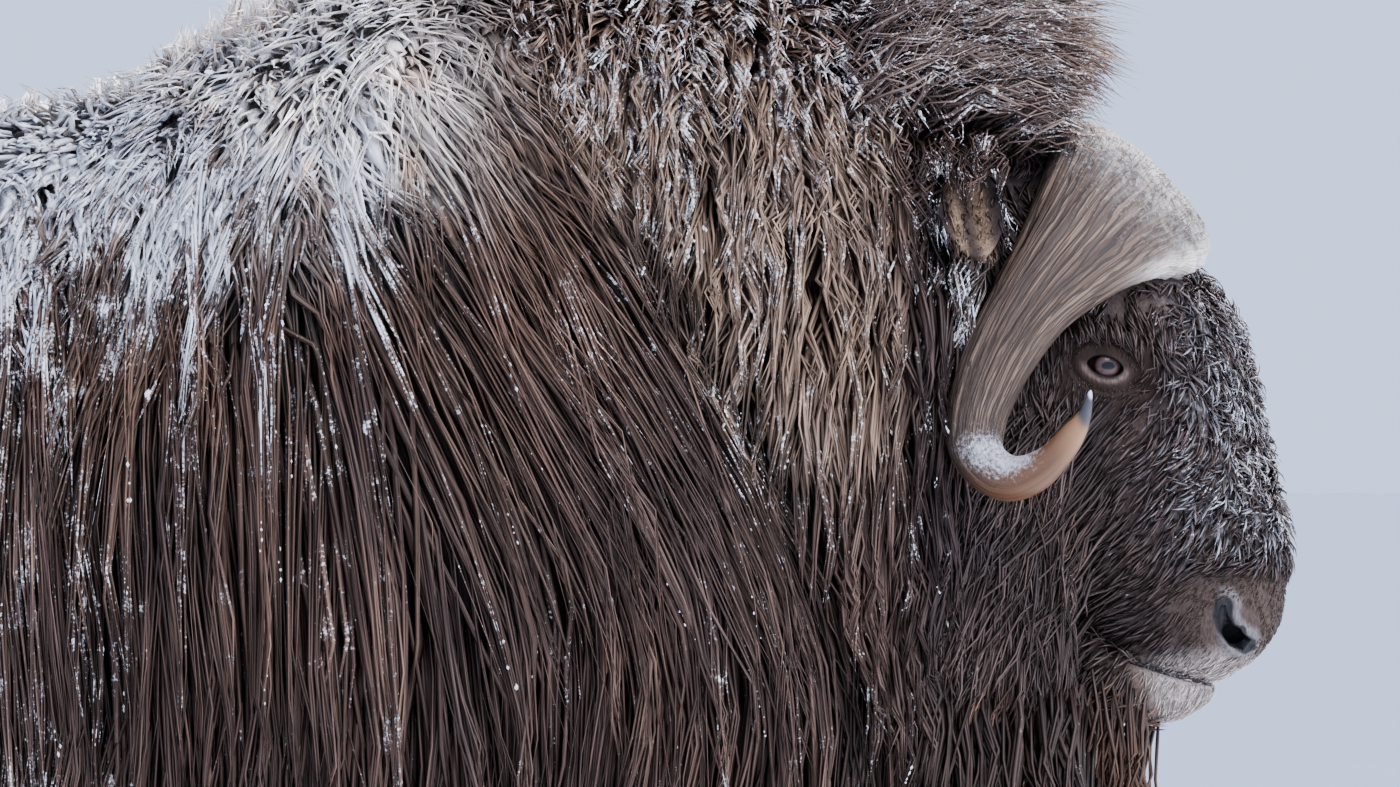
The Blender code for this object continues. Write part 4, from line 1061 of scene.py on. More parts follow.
def trunk_strands(
    rng, coat, style, u, fall, side, drop, drift, rise, darker=1.0, frostier=0.0, behind=False,
):
    """Locks rooted in the trunk at u and fall, which drop along it, each of several strands."""
    locks, strands, steps = len(u), style.strands, style.steps
    t = np.linspace(0, 1, steps)[None]
    wave = rng.uniform(*style.wave, locks)
    waves = rng.uniform(*style.waves, locks)
    phase = rng.uniform(0, 1, locks)
    shade = rng.uniform(0.76, 1.28, locks) * darker
    lock_frost = rng.choice((-0.10, 0.0, 0.11), locks, p=(0.36, 0.38, 0.26)) + frostier
    sway = wave[:, None] * np.sin(2 * math.pi * (t * waves[:, None] + phase[:, None]))
    centre = lock_lines(u, fall, side, drop, drift, t[0]) + sway * np.minimum(1, 2.2 * t)

    def each(values):
        return np.repeat(np.broadcast_to(values, (locks,)), strands)

    count = locks * strands
    place = rng.normal(0, 1, count)
    above = rng.normal(0, 1, count) * style.spread * 1.6
    length = rng.uniform(0.70, 1.06, count)
    deep = rng.uniform(-0.5, 0.5, count)
    loose = np.where(rng.uniform(0, 1, count) < style.loose, 0.2, 1.0)
    closing = 1 - (style.clump * loose)[:, None] * ramp(t, 0.0, 0.95)
    stray = rng.normal(0, 0.0016, (count, steps)) * t
    path_u = np.repeat(centre, strands, axis=0) + (place * style.spread)[:, None] * closing + stray
    path_fall = each(fall)[:, None] + above[:, None] * closing + (each(drop) * length)[:, None] * t
    path_fall = np.clip(path_fall, 0.0, 1.985)
    ridge = np.exp(-(place**2)) - 0.5
    top = each(rise) + deep * 0.06 + style.ridge * ridge
    share = mix(style.root, top[:, None], 1 - (1 - t) ** style.power)
    share = share - style.roll * ramp(t, 0.55, 1.0)
    share = np.clip(share + 0.07 * deep[:, None] * (1 - t), 0.05, 1.0)
    sides = np.broadcast_to(each(side)[:, None], path_u.shape)
    x, path_fall, share, sides = (a.ravel() for a in (station_of(path_u), path_fall, share, sides))
    paths = coat_points(x, path_fall, share, sides)
    outward = unit(coat_points(x, path_fall, share + 0.08, sides) - paths)
    if behind:
        paths[:, 0] -= over_line(paths[:, 0], paths[:, 2])
    paths, outward = paths.reshape(count, steps, 3), outward.reshape(count, steps, 3)
    marks = trunk_markings(paths.reshape(-1, 3))
    root_rgb, tip_rgb, frost = (mark.reshape(count, steps, *mark.shape[1:]) for mark in marks)
    # Strands in a lock's middle and lying higher are lighter, those at its edges and lower down darker:
    # painted shade within the lock, on top of each lock's random tone
    tint = (each(shade) * (0.80 + 0.45 * (ridge + 0.5) + 0.25 * deep))[:, None, None]
    chart = trunk_chart(each(u) + place * style.spread, each(fall), each(side))
    width = style.half_width * rng.uniform(0.65, 1.25, count)
    frost = np.clip(frost + each(lock_frost)[:, None], 0, 1)
    coat.add(rng, paths, outward, width, root_rgb * tint, tip_rgb * tint, frost, chart, style.flatness)


def over_line(x, z):
    """How far shoulder hair reaches in front of the mane's edge."""
    high = ramp(z, 0.76, 0.84) * until(z, 1.12, 1.17)
    return np.clip(x - side_line(z) + 0.002, 0, 0.06) * high


def scatter(rng, *areas):
    """Even random places in areas of the coat: one in each cell of a grid, on both sides."""
    places = []
    for count, (u_low, u_high), (fall_low, fall_high) in areas:
        half, u_span = count // 2, u_high - u_low
        columns = max(1, round(math.sqrt(half * u_span / ((fall_high - fall_low) * FALL_DEPTH))))
        rows = max(1, round(half / columns))
        k = np.arange(rows * columns)
        for side in SIDES:
            u = u_low + u_span * (k % columns + rng.uniform(0, 1, len(k))) / columns
            fall = mix(fall_low, fall_high, (k // columns + rng.uniform(0, 1, len(k))) / rows)
            places.append((u, fall, np.full(len(k), float(side))))
    return [np.concatenate(values) for values in zip(*places)]


def mane_line_shadow(x, z):
    """1 in the shadow line that the mane's tips leave over the shoulder, where hair is painted dark as
    painted shadow, 0 away from it.
    """
    behind = side_line(z) - x
    return bell(behind, 0.012, 0.022) * ramp(z, 0.74, 0.80) * until(z, 1.10, 1.15)


def partings(x, z):
    """1 in the partings of the lower coat, where hair is painted dark as painted shade, 0 away from them.
    """
    return np.maximum(bell(x, -0.02, 0.016), bell(x, 0.645, 0.012)) * until(z, 0.72, 0.80)


def places_at(u, fall, side, share=0.7):
    x = station_of(u)
    return x, coat_points(x, fall, np.full(len(x), share), side)[:, 2]


def grow_flanks(rng):
    """Long hair of the flanks, shoulders and rump, an under layer and a ridged upper one."""
    coat = Coat("coat_long", "coat_dark")
    under = Style(7, 0.022, 0.0045, steps=5, clump=0.5, wave=(0.001, 0.005), ridge=0.06, flatness=0.22)
    upper = Style(
        10, 0.0125, 0.0021, steps=6, clump=0.84, wave=(0.002, 0.010), waves=(0.8, 2.0), ridge=0.13,
        flatness=0.35,
    )
    single = Style(2, 0.010, 0.0008, steps=6, clump=0.3, wave=(0.003, 0.012), waves=(0.8, 2.2), ridge=0.0)
    for style, count, falls, rise in (
        (under, 640, (0.50, 1.74), 0.74), (upper, 980, (0.30, 1.60), 0.93), (single, 720, (0.30, 1.60), 1.0)
    ):
        u, fall, side = scatter(rng, (count, (-RUMP_ARC, 1.57), falls))
        x, z = places_at(u, fall, side)
        keep = x < side_line(z) + 0.01
        u, fall, side, x, z = (a[keep] for a in (u, fall, side, x, z))
        drop = np.maximum(0.22, np.minimum(rng.uniform(0.42, 0.68, len(u)), LOWEST_FALL - fall))
        shadow_gap = mane_line_shadow(x, z)
        part = partings(*places_at(u, fall + 0.5 * drop, side))
        # Hair in the mane's shadow line and in the partings lies lower and is painted darker: painted shade
        darker = (1 - 0.70 * shadow_gap) * (1 - 0.70 * part)
        trunk_strands(
            rng, coat, style, u, fall, side, drop, 0.0, rise - 0.34 * shadow_gap - 0.18 * part, darker,
            -0.3 * np.maximum(shadow_gap, part), behind=True,
        )
    return coat


def above_line(x, z_root, z_tip, margin):
    """The share of a lock's length that stays above the edge of the mane."""
    edge = 1.124 - (x - 0.440) / 0.594 + margin
    edge = np.where(x > 0.66, -1.0, edge)
    return np.clip((z_root - edge) / np.maximum(0.01, z_root - z_tip), 0.0, 1.0)


def grow_mane(rng):
    """The tan mane on the sides of the neck: short wavy locks that overlap like shingles."""
    coat = Coat("coat_mane", "coat_mane")
    tan = Style(
        8, 0.0095, 0.0025, steps=5, clump=0.90, wave=(0.003, 0.010), waves=(0.8, 1.6), ridge=0.20,
        power=1.15, flatness=0.35, loose=0.14,
    )
    u, fall, side = scatter(rng, (2500, (1.24, 1.755), (0.24, 1.80)))
    x, z = places_at(u, fall, side)
    keep = x > side_line(z) - 0.012
    keep &= (x < head_cut_x(z) + 0.010) | (z < 0.655)
    keep &= ~((x > 0.735) & (z > 1.05))
    u, fall, side, x, z = (a[keep] for a in (u, fall, side, x, z))
    drop = mix(0.11, 0.30, ramp(fall, 0.85, 1.5)) * rng.uniform(0.8, 1.3, len(u))
    drop = np.minimum(drop, LOWEST_FALL - fall)
    _, z_tip = places_at(u, fall + drop, side)
    whole = above_line(x, z, z_tip, rng.uniform(-0.015, 0.025, len(u)))
    keep = whole > 0.35
    u, fall, side, drop, x = u[keep], fall[keep], side[keep], (drop * whole)[keep], x[keep]
    rise = rng.uniform(0.88, 1.04, len(u))
    part = partings(*places_at(u, fall + 0.5 * drop, side))
    # Mane hair in the partings lies lower and is painted darker: painted shade
    trunk_strands(rng, coat, tan, u, fall, side, drop, 0.0, rise - 0.2 * part, 1 - 0.7 * part)
    return coat


def grow_wool(rng):
    """The saddle's short fleece and the curling wool before and over the hump."""
    coat = Coat("coat_wool", "coat_dark")
    fleece = Style(
        7, 0.014, 0.0030, steps=4, clump=0.45, wave=(0.003, 0.008), waves=(0.5, 1.0), root=0.40,
        power=1.0, ridge=0.14, flatness=0.4, loose=0.3,
    )
    curls = Style(
        11, 0.014, 0.0019, steps=4, clump=0.50, wave=(0.004, 0.011), waves=(0.4, 0.9), root=0.45,
        power=0.9, ridge=0.26, flatness=0.5, loose=0.30, roll=0.06,
    )
    bed = Style(
        5, 0.024, 0.0088, steps=4, clump=0.20, wave=(0.002, 0.006), waves=(0.4, 0.9), root=0.40,
        power=1.1, ridge=0.08, flatness=0.12, loose=0.3,
    )
    u, fall, side = scatter(rng, (660, (-RUMP_ARC, 1.56), (0.0, 0.60)), (90, *HUMP_SIDE))
    trunk_strands(
        rng, coat, bed, u, fall, side, rng.uniform(0.09, 0.15, len(u)), rng.normal(0, 0.008, len(u)),
        rng.uniform(0.62, 0.76, len(u)), frostier=0.02,
    )
    u, fall, side = scatter(
        rng, (1120, (-RUMP_ARC, 1.08), (0.0, 0.66)), (420, (-RUMP_ARC, 1.00), (0.20, 0.56))
    )
    trunk_strands(
        rng, coat, fleece, u, fall, side, rng.uniform(0.045, 0.085, len(u)) + 0.06 * fall,
        rng.normal(-0.006, 0.016, len(u)), rng.uniform(0.78, 1.0, len(u)), frostier=0.04,
    )
    u, fall, side = scatter(rng, (680, (0.84, 1.66), (0.0, 0.62)), (130, *HUMP_SIDE))
    x, z = places_at(u, fall, side)
    keep = (x < 0.72) | (z > 1.25)
    u, fall, side, x = u[keep], fall[keep], side[keep], x[keep]
    drift = mix(-0.014, 0.020, ramp(x, 0.20, 0.45)) + rng.normal(0, 0.020, len(u))
    trunk_strands(
        rng, coat, curls, u, fall, side, rng.uniform(0.05, 0.10, len(u)) + 0.14 * fall, drift,
        rng.uniform(0.82, 1.04, len(u)), frostier=-0.04,
    )
    return coat


def hanging(
    rng, coat, roots, bends, tips, facing, strands, spread, half_width, markings, chart=None, steps=5,
    clump=0.8, wave=0.006, waves=1.4,
):
    """Free locks from their roots past a bend to their tips."""
    count = len(roots) * strands
    t = np.linspace(0, 1, steps)[None, :, None]

    def each(values):
        return np.repeat(values, strands, axis=0)

    phase = each(rng.uniform(0, 1, len(roots)))[:, None, None]
    away = rng.normal(0, 1, (count, 1, 3)) * spread
    closing = 1 - clump * np.where(rng.uniform(0, 1, (count, 1, 1)) < 0.12, 0.2, 1) * t
    s = t * rng.uniform(0.72, 1.05, (count, 1, 1))
    paths = (
        each(roots)[:, None] * (1 - s) ** 2
        + each(bends)[:, None] * 2 * s * (1 - s)
        + each(tips)[:, None] * s * s
    )
    outward = unit(np.repeat(each(facing)[:, None], steps, axis=1))
    aside = unit(np.cross(outward, unit(np.gradient(paths, axis=1))))
    shift = wave * np.sin(2 * math.pi * (waves * t + phase)) * np.minimum(1, 2 * t)
    paths = paths + away * closing + aside * shift + rng.normal(0, 0.0014, paths.shape) * t
    root_rgb, tip_rgb, frost = markings(paths[:, steps // 2])
    tint = each(rng.uniform(0.7, 1.3, len(roots)))[:, None]
    width = half_width * rng.uniform(0.7, 1.25, count)
    chart = plain_chart(roots) if chart is None else chart
    coat.add(rng, paths, outward, width, root_rgb * tint, tip_rgb * tint, frost, each(chart))


def head_cut_x(z):
    (top_x, top_z), (low_x, low_z) = HEAD_CUT
    return low_x + (top_x - low_x) * (z - low_z) / (top_z - low_z)


def plain_chart(points):
    """The place of other hair on an unwrap that runs along the animal and round it."""
    around = np.arctan2(points[:, 1], points[:, 2] - 0.80) / (2 * math.pi) + 0.5
    return np.stack((np.clip((points[:, 0] + 1.1) / 2.2, 0, 0.99), around * 0.98), axis=-1)


def by_turns(count):
    """The sides of a row of locks, left and right by turns."""
    return np.where(np.arange(count) % 2 == 0, 1.0, -1.0)


def one_colour(colour, root_shade_share, frost):
    """Markings of hair that has one colour and one amount of frost, its root darkened by a share as painted
    shade.
    """

    def markings(points):
        rgb = np.repeat(colour[None], len(points), 0)
        return rgb * root_shade_share, rgb, np.full(len(points), frost)

    return markings


def dark_brown(points):
    root_rgb, tip_rgb, frost = trunk_markings(points)
    return root_rgb, mix(tip_rgb, DARK * 1.3, 0.85), np.clip(frost * 0.4 + 0.07, 0, 1)


def grow_crest(rng, coat):
    """The crest stands forward over the boss in a thick roll, with a loose fringe."""

    def nape_brown(points):
        front = ramp(points[:, 0], 0.83, 0.92)
        tip_rgb = dyed(NAPE * 0.8, GREY_BROWN, lattice_noise(points, 26, 12))
        tip_rgb = dyed(tip_rgb, RUST * 1.9, 0.8 * front)
        return np.repeat(NAPE[None] * 0.45, len(points), 0), tip_rgb, 0.27 - 0.25 * front

    for count, reach, strands, width in ((330, 1.0, 8, 0.0019), (240, 1.10, 7, 0.0010)):
        across = rng.uniform(-1, 1, count)
        root_x = rng.uniform(0.65, 0.815, count)
        roots = coat_points(root_x, np.abs(across) * 0.50, np.full(count, 0.35), np.sign(across))
        ahead = mix(0.085, 0.165, rng.uniform(0, 1, count)) * (1 - 0.30 * np.abs(across)) * reach
        climb = mix(0.060, 0.000, (root_x - 0.64) / 0.16) + rng.normal(0, 0.016, count)
        climb = climb + 0.045 * (reach - 1)
        tips = roots + points_at(ahead, across * 0.030, climb)
        tips[:, 0] = np.minimum(tips[:, 0], 0.930 - 0.30 * np.abs(tips[:, 1]) + 0.1 * (reach - 1))
        tips[:, 2] = np.minimum(tips[:, 2], HUMP_TOP)
        bends = (roots + tips) / 2 + points_at(0, across * 0.02, 0.036)
        bends[:, 2] = np.minimum(bends[:, 2], HUMP_TOP + 0.012)
        hanging(
            rng, coat, roots, bends, tips, points_at(0, across, 1), strands, 0.011, width, nape_brown,
            steps=6, wave=0.009, waves=1.9, clump=0.62,
        )


def grow_ear_tufts(rng, coat):
    """Grey and brown tufts fall over the roots of the ears, and others hang below them."""
    count = 44
    side = by_turns(count)
    roots = points_at(rng.uniform(0.738, 0.806, count), side * 0.152, rng.uniform(1.142, 1.180, count))
    drop = rng.uniform(0.022, 0.044, count)
    tips = roots + points_at(rng.normal(0.0, 0.010, count), side * 0.030, -drop)
    bends = roots + points_at(0, side * 0.038, -0.004)
    hoary = one_colour(BROWN, 0.4, 0.28)
    hanging(rng, coat, roots, bends, tips, points_at(0.1, side, 0.5), 8, 0.006, 0.0012, hoary)

    count = 16
    side = by_turns(count)
    roots = points_at(rng.uniform(0.745, 0.785, count), side * 0.168, rng.uniform(1.03, 1.10, count))
    tips = roots + points_at(rng.uniform(-0.03, 0.0, count), side * 0.018, -0.095)
    bends = roots + points_at(0, side * 0.024, -0.04)
    frosted = one_colour(GREY_BROWN, 0.35, 0.46)
    hanging(rng, coat, roots, bends, tips, points_at(0.1, side, 0), 12, 0.007, 0.0012, frosted)


def grow_ruff(rng, coat, head_tree):
    """The ruff down the front of the neck, and cheek hair that sweeps back over its edge."""

    def cheek_brown(points):
        root_rgb, tip_rgb, frost = head_markings(points)
        return root_rgb, tip_rgb * 1.30, frost * 0.8

    count = 250
    side = by_turns(count)
    root_z = rng.uniform(0.66, 1.10, count)
    root_y = np.interp(root_z, (0.66, 0.80, 0.95, 1.10), (0.150, 0.178, 0.190, 0.150))
    root_y = root_y * rng.uniform(0.80, 1.06, count)
    roots = points_at(head_cut_x(root_z) - 0.03, side * root_y, root_z)
    drop = rng.uniform(0.16, 0.27, count)
    ahead = rng.uniform(0.0, 1.0, count) ** 1.6
    tips = roots + points_at(0.055 * ahead - 0.005, side * 0.012, -drop)
    bends = roots + points_at(0.01 + 0.05 * ahead, side * 0.006, -drop * 0.4)
    hanging(rng, coat, roots, bends, tips, points_at(0.6, side, 0), 10, 0.011, 0.0023, dark_brown)

    count = 190
    side = by_turns(count)
    root_x, root_z = rng.uniform(0.800, 0.900, count), rng.uniform(0.700, 0.930, count)
    roots = np.array([on_side(head_tree, *place) for place in zip(root_x, root_z, side)])
    drop = rng.uniform(0.09, 0.17, count)
    tips = roots + points_at(-0.35 * drop - 0.01, side * 0.020, -drop)
    bends = roots + points_at(-0.35 * drop, side * 0.022, -0.35 * drop)
    facing = points_at(0.1, side, 0)
    hanging(rng, coat, roots, bends, tips, facing, 8, 0.007, 0.0016, cheek_brown, clump=0.6)


def grow_throat(rng, coat):
    """Throat and chest hang in front of the forelegs."""
    count = 230
    y = rng.uniform(-0.17, 0.17, count)
    root_z = rng.uniform(0.46, 0.72, count)
    root_x = mix(0.665, 0.725, (root_z - 0.46) / 0.26) - 0.3 * np.abs(y)
    roots = points_at(root_x, y, root_z)
    tips = roots + points_at(0.030, y * 0.1, -rng.uniform(0.17, 0.25, count))
    tips[:, 2] = np.maximum(tips[:, 2], 0.245 + 0.35 * np.abs(y))
    bends = roots + points_at(0.045, y * 0.05, -0.08)
    hanging(rng, coat, roots, bends, tips, points_at(1, 2 * y, 0), 7, 0.012, 0.0034, dark_brown)


def grow_beard(rng, coat):

    def beard_brown(points):
        red = ramp(points[:, 0], 0.83, 0.92)
        red = np.maximum(red, 0.8 * until(points[:, 2], 0.52, 0.62))
        tip_rgb = dyed(DARK * 1.5, RUST * 1.1, 0.75 * red)
        return np.repeat(FACE[None] * 0.8, len(points), 0), tip_rgb, np.full(len(points), 0.08)

    count = 250
    along = rng.uniform(0, 1, count)
    root_x = mix(0.775, 0.935, along)
    root_y = rng.uniform(-1, 1, count) * mix(0.080, 0.042, along)
    root_z = mix(0.735, 0.655, along) + 0.25 * np.abs(root_y)
    roots = points_at(root_x, root_y, root_z)
    tip_z = mix(0.440, 0.475, along) + rng.uniform(0, 0.10, count)
    tips = points_at(root_x - 0.012 + rng.normal(0, 0.008, count), root_y * 1.15, tip_z)
    bends = points_at(root_x + 0.004, root_y * 1.35, mix(root_z, tip_z, 0.4))
    facing = points_at(0.15, np.sign(root_y), 0)
    hanging(rng, coat, roots, bends, tips, facing, 8, 0.008, 0.0020, beard_brown)


def grow_tail(rng, coat):
    count = 60
    y = rng.uniform(-0.028, 0.028, count)
    root_z = rng.uniform(0.80, 0.95, count)
    roots = points_at(-1.045 + (root_z - 0.80) * 0.2, y, root_z)
    tips = points_at(-1.070, y * 1.3, root_z - rng.uniform(0.09, 0.15, count))
    bends = (roots + tips) / 2 + np.array((-0.018, 0, 0))
    hanging(rng, coat, roots, bends, tips, points_at(-1, y * 10, 0), 9, 0.007, 0.0016, dark_brown)


def grow_front(rng, head_tree):
    """The free locks: crest, ear tufts, ruff, throat, chest, beard and tail."""
    coat = Coat("coat_front", "coat_mane")
    grow_crest(rng, coat)
    grow_ear_tufts(rng, coat)
    grow_ruff(rng, coat, head_tree)
    grow_throat(rng, coat)
    grow_beard(rng, coat)
    grow_tail(rng, coat)
    return coat


# Short hair that follows the skin


def sample_skin(rng, mesh, count, weight_of):
    """Random places on a skin of triangles, more where the weight is larger."""
    verts = coords(mesh)
    tris = np.empty(len(mesh.polygons) * 3, dtype=np.int32)
    mesh.polygons.foreach_get("vertices", tris)
    corners = verts[tris.reshape(-1, 3)]
    cross = np.cross(corners[:, 1] - corners[:, 0], corners[:, 2] - corners[:, 0])
    area = np.linalg.norm(cross, axis=1) / 2
    weight = area * weight_of(corners.mean(axis=1), unit(cross))
    chosen = rng.choice(len(area), count, p=weight / weight.sum())
    a, b = rng.uniform(0, 1, (2, count))
    flip = a + b > 1
    a, b = np.where(flip, 1 - a, a), np.where(flip, 1 - b, b)
    picked = corners[chosen]
    points = picked[:, 0] + a[:, None] * (picked[:, 1] - picked[:, 0])
    points = points + b[:, None] * (picked[:, 2] - picked[:, 0])
    return points, unit(cross[chosen])


def skin_strands(rng, coat, tree, points, outward, flow, length, lift, half_width, markings, steps=4):
    """Strands that leave the skin and lie along it in the direction of the flow."""
    count = len(points)
    flow = unit(flow - outward * np.sum(flow * outward, axis=1, keepdims=True))
    paths = np.empty((count, steps, 3))
    faces = np.empty((count, steps, 3))
    paths[:, 0] = points - outward * 0.0015
    faces[:, 0] = outward
    at = points.copy()
    for k in range(1, steps):
        t = k / (steps - 1)
        at = at + flow * (length / (steps - 1))[:, None]
        for n in range(count):
            place, normal, _, _ = tree.find_nearest(Vector(at[n]))
            at[n] = place
            faces[n, k] = normal
        bend = faces[:, k]
        flow = unit(flow - bend * np.sum(flow * bend, axis=1, keepdims=True))
        height = lift * (1 - (1 - t) ** 2)
        paths[:, k] = at + bend * height[:, None]
    root_rgb, tip_rgb, frost = markings(points)
    coat.add(rng, paths, faces, half_width, root_rgb, tip_rgb, frost, plain_chart(points))


def nostril_ring(points):
    """The distance of points from the middle of a nostril, seen from the side."""
    return np.hypot(points[:, 0] - 1.020, points[:, 2] - 0.724)


def face_hair(points):
    """Length of the hair on the head, which is bare round the eyes, nostrils and lips."""
    x, y, z = points.T
    length = np.full(len(points), 0.026)
    length = mix(length, 0.080, ramp(0.92 - z, 0.0, 0.10) * until(x, 0.84, 0.95))
    length = mix(length, 0.021, ramp(x, 0.96, 1.02))
    length = mix(length, 0.006, ramp(x, 0.950, 1.00) * until(z, 0.768, 0.782))
    length = mix(length, 0.012, ramp(x, 0.925, 0.955) * until(z, 0.690, 0.715))
    length = length * (0.20 + 0.80 * ramp(eye_ring(points), 0.020, 0.040))
    bare = (eye_ring(points) < 0.0185) | ((nostril_ring(points) < 0.027) & (np.abs(y) > 0.012))
    return np.where(bare, 0.0, length)


def face_flow(points):
    """The lie of the hair: down the forehead, back and down over the cheeks."""
    x, y, z = points.T
    side = np.where(y >= 0, 1.0, -1.0)
    back = -0.80 * ramp(z, 0.62, 0.72) * until(z, 0.90, 1.0) * ramp(x, 0.82, 0.92)
    out = side * (0.30 * ramp(x, 0.98, 1.04) + 0.1)
    flow = np.stack((back - 0.05, out, np.full(len(x), -0.85)), axis=-1)
    curl = np.stack([lattice_noise(points, 42, seed) - 0.5 for seed in (21, 22, 23)], axis=-1)
    curly = ramp(x, 0.93, 1.02) * ramp(z, 0.77, 0.83) + 0.7 * ramp(z, 1.0, 1.05)
    return flow + curl * (0.9 + 2.6 * curly)[:, None]


def clear_of(tree, points, margin):
    """Which points lie outside a closed surface by a margin."""
    clear = []
    for point in points:
        place, normal, _, distance = tree.find_nearest(Vector(point))
        clear.append((Vector(point) - place).dot(normal) > 0 and distance > margin)
    return np.array(clear)


def grow_face(rng, skin, tree, horn_tree):
    """Short hair of the head, curly and frosted in front, long and fine on the cheeks."""
    coat = Coat("coat_face", "coat_face")

    def weight(points, outward):
        x, y, z = points.T
        on_head = (x > head_cut_x(z) + 0.006) & (z > 0.6)
        long = face_hair(points)
        dense = 1.0 + 1.2 * ramp(x, 0.94, 1.02) + 1.6 * (long < 0.013)
        return np.where(on_head & (long > 0.0005) & ~on_ear(points), dense, 0.0)

    points, outward = sample_skin(rng, skin.data, FACE_HAIRS, weight)
    clear = clear_of(horn_tree, points, 0.003)
    points, outward = points[clear], outward[clear]
    length = face_hair(points) * rng.uniform(0.65, 1.2, len(points))
    curly = ramp(points[:, 0], 0.93, 1.02) * ramp(points[:, 2], 0.77, 0.83)
    lift = np.clip(length * (0.20 + 0.26 * curly), 0.0008, 0.012) * rng.uniform(0.5, 1.5, len(points))
    width = np.clip(length * 0.060, 0.0006, 0.0016) * rng.uniform(0.7, 1.25, len(points))
    scatter_angle = (0.14 + 0.55 * curly)[:, None]
    flow = face_flow(points) + rng.normal(0, 1, points.shape) * scatter_angle
    for chosen, steps in ((length >= 0.011, 4), (length < 0.011, 3)):
        parts = (values[chosen] for values in (points, outward, flow, length, lift, width))
        skin_strands(rng, coat, tree, *parts, head_markings, steps)
    return coat


def grow_legs(rng, skin, tree):
    """Short pale hair on the legs."""
    coat = Coat("coat_legs", "coat_stocking")

    def weight(points, outward):
        x, y, z = points.T
        return np.where((z < 0.42) & (z > 0.066) & (np.abs(outward[:, 2]) < 0.75), 1.0, 0.0)

    def stocking(points):
        tip_rgb = dyed(STOCKING, BROWN, ramp(points[:, 2], 0.26, 0.36))
        return tip_rgb * 0.85, tip_rgb, np.full(len(points), 0.12)

    points, outward = sample_skin(rng, skin.data, LEG_HAIRS, weight)
    length = rng.uniform(0.016, 0.028, len(points)) * (1 + ramp(points[:, 2], 0.2, 0.4))
    lift = length * 0.16
    width = np.full(len(points), 0.0016)
    flow = np.tile(np.array((-0.1, 0.0, -1.0)), (len(points), 1)) + rng.normal(0, 0.12, points.shape)
    skin_strands(rng, coat, tree, points, outward, flow, length, lift, width, stocking, steps=3)
    return coat


def on_left(points):
    """Points with those of the right side mirrored to the left."""
    return points * points_at(1.0, np.sign(points[:, 1]), 1.0)


def on_ear(points):
    """Which points lie on an ear."""
    near = np.linalg.norm(on_left(points) - (EAR_ROOT + EAR_TIP) / 2, axis=1) < 0.072
    return near & (np.abs(points[:, 1]) > 0.156)


def ear_across(points):
    """How far points of an ear lie across it, from its middle, as a share of its half width."""
    along = EAR_TIP - EAR_ROOT
    wide = np.array((1.0, 0, 0)) - along * along[0] / (along @ along)
    return (on_left(points) - EAR_ROOT) @ unit(wide) / EAR_HALF_WIDTH


def ear_rgb(points):
    """Beige lobes on both sides of a slit painted dark as painted shade of the ear's opening."""
    across = ear_across(points)
    lobes = bell(across, -0.48, 0.19) + bell(across, 0.24, 0.24)
    blotch = 0.75 + 0.5 * lattice_noise(points, 120, 15)
    # Dark between the lobes is painted shade of the ear's opening, dark at the sides is the ear's own hair
    return dyed(DARK * 0.7, TAN * 0.85, np.clip(lobes, 0, 1) * blotch)


def grow_ears(rng, skin):
    """Soft hair on the ears, beige along both edges of a cup painted dark: painted shade in its middle, the
    ear's own dark hair at its sides.
    """
    coat = Coat("coat_ears", "coat_mane")

    def weight(points, outward):
        return np.where(on_ear(points), 0.6 + np.abs(ear_across(points)), 0.0)

    def ear_colour(points):
        tip_rgb = ear_rgb(points)
        rim = np.maximum(ramp(points[:, 2], 1.115, 1.140), ramp(np.abs(ear_across(points)), 0.65, 0.95))
        return tip_rgb * 0.85, tip_rgb, 0.04 + 0.40 * rim

    points, outward = sample_skin(rng, skin.data, EAR_TUFTS, weight)
    along = unit(EAR_TIP - EAR_ROOT) + np.array((0.0, 0.0, -0.3))
    flow = np.tile(along, (len(points), 1))
    flow[:, 1] *= np.sign(points[:, 1])
    flow = unit(flow + rng.normal(0, 0.12, points.shape))
    rim = ramp(np.abs(ear_across(points)), 0.6, 0.9)
    reach = flow * (rng.uniform(0.009, 0.016, len(points)) * (1 + 1.1 * rim))[:, None]
    hanging(
        rng, coat, points - outward * 0.001, points + reach * 0.5 + outward * 0.0022,
        points + reach + outward * 0.001,
        outward, 3, 0.0016, 0.0011, ear_colour, plain_chart(points), steps=4, wave=0.001, clump=0.5,
    )
    return coat


# Frost that clings to the hair


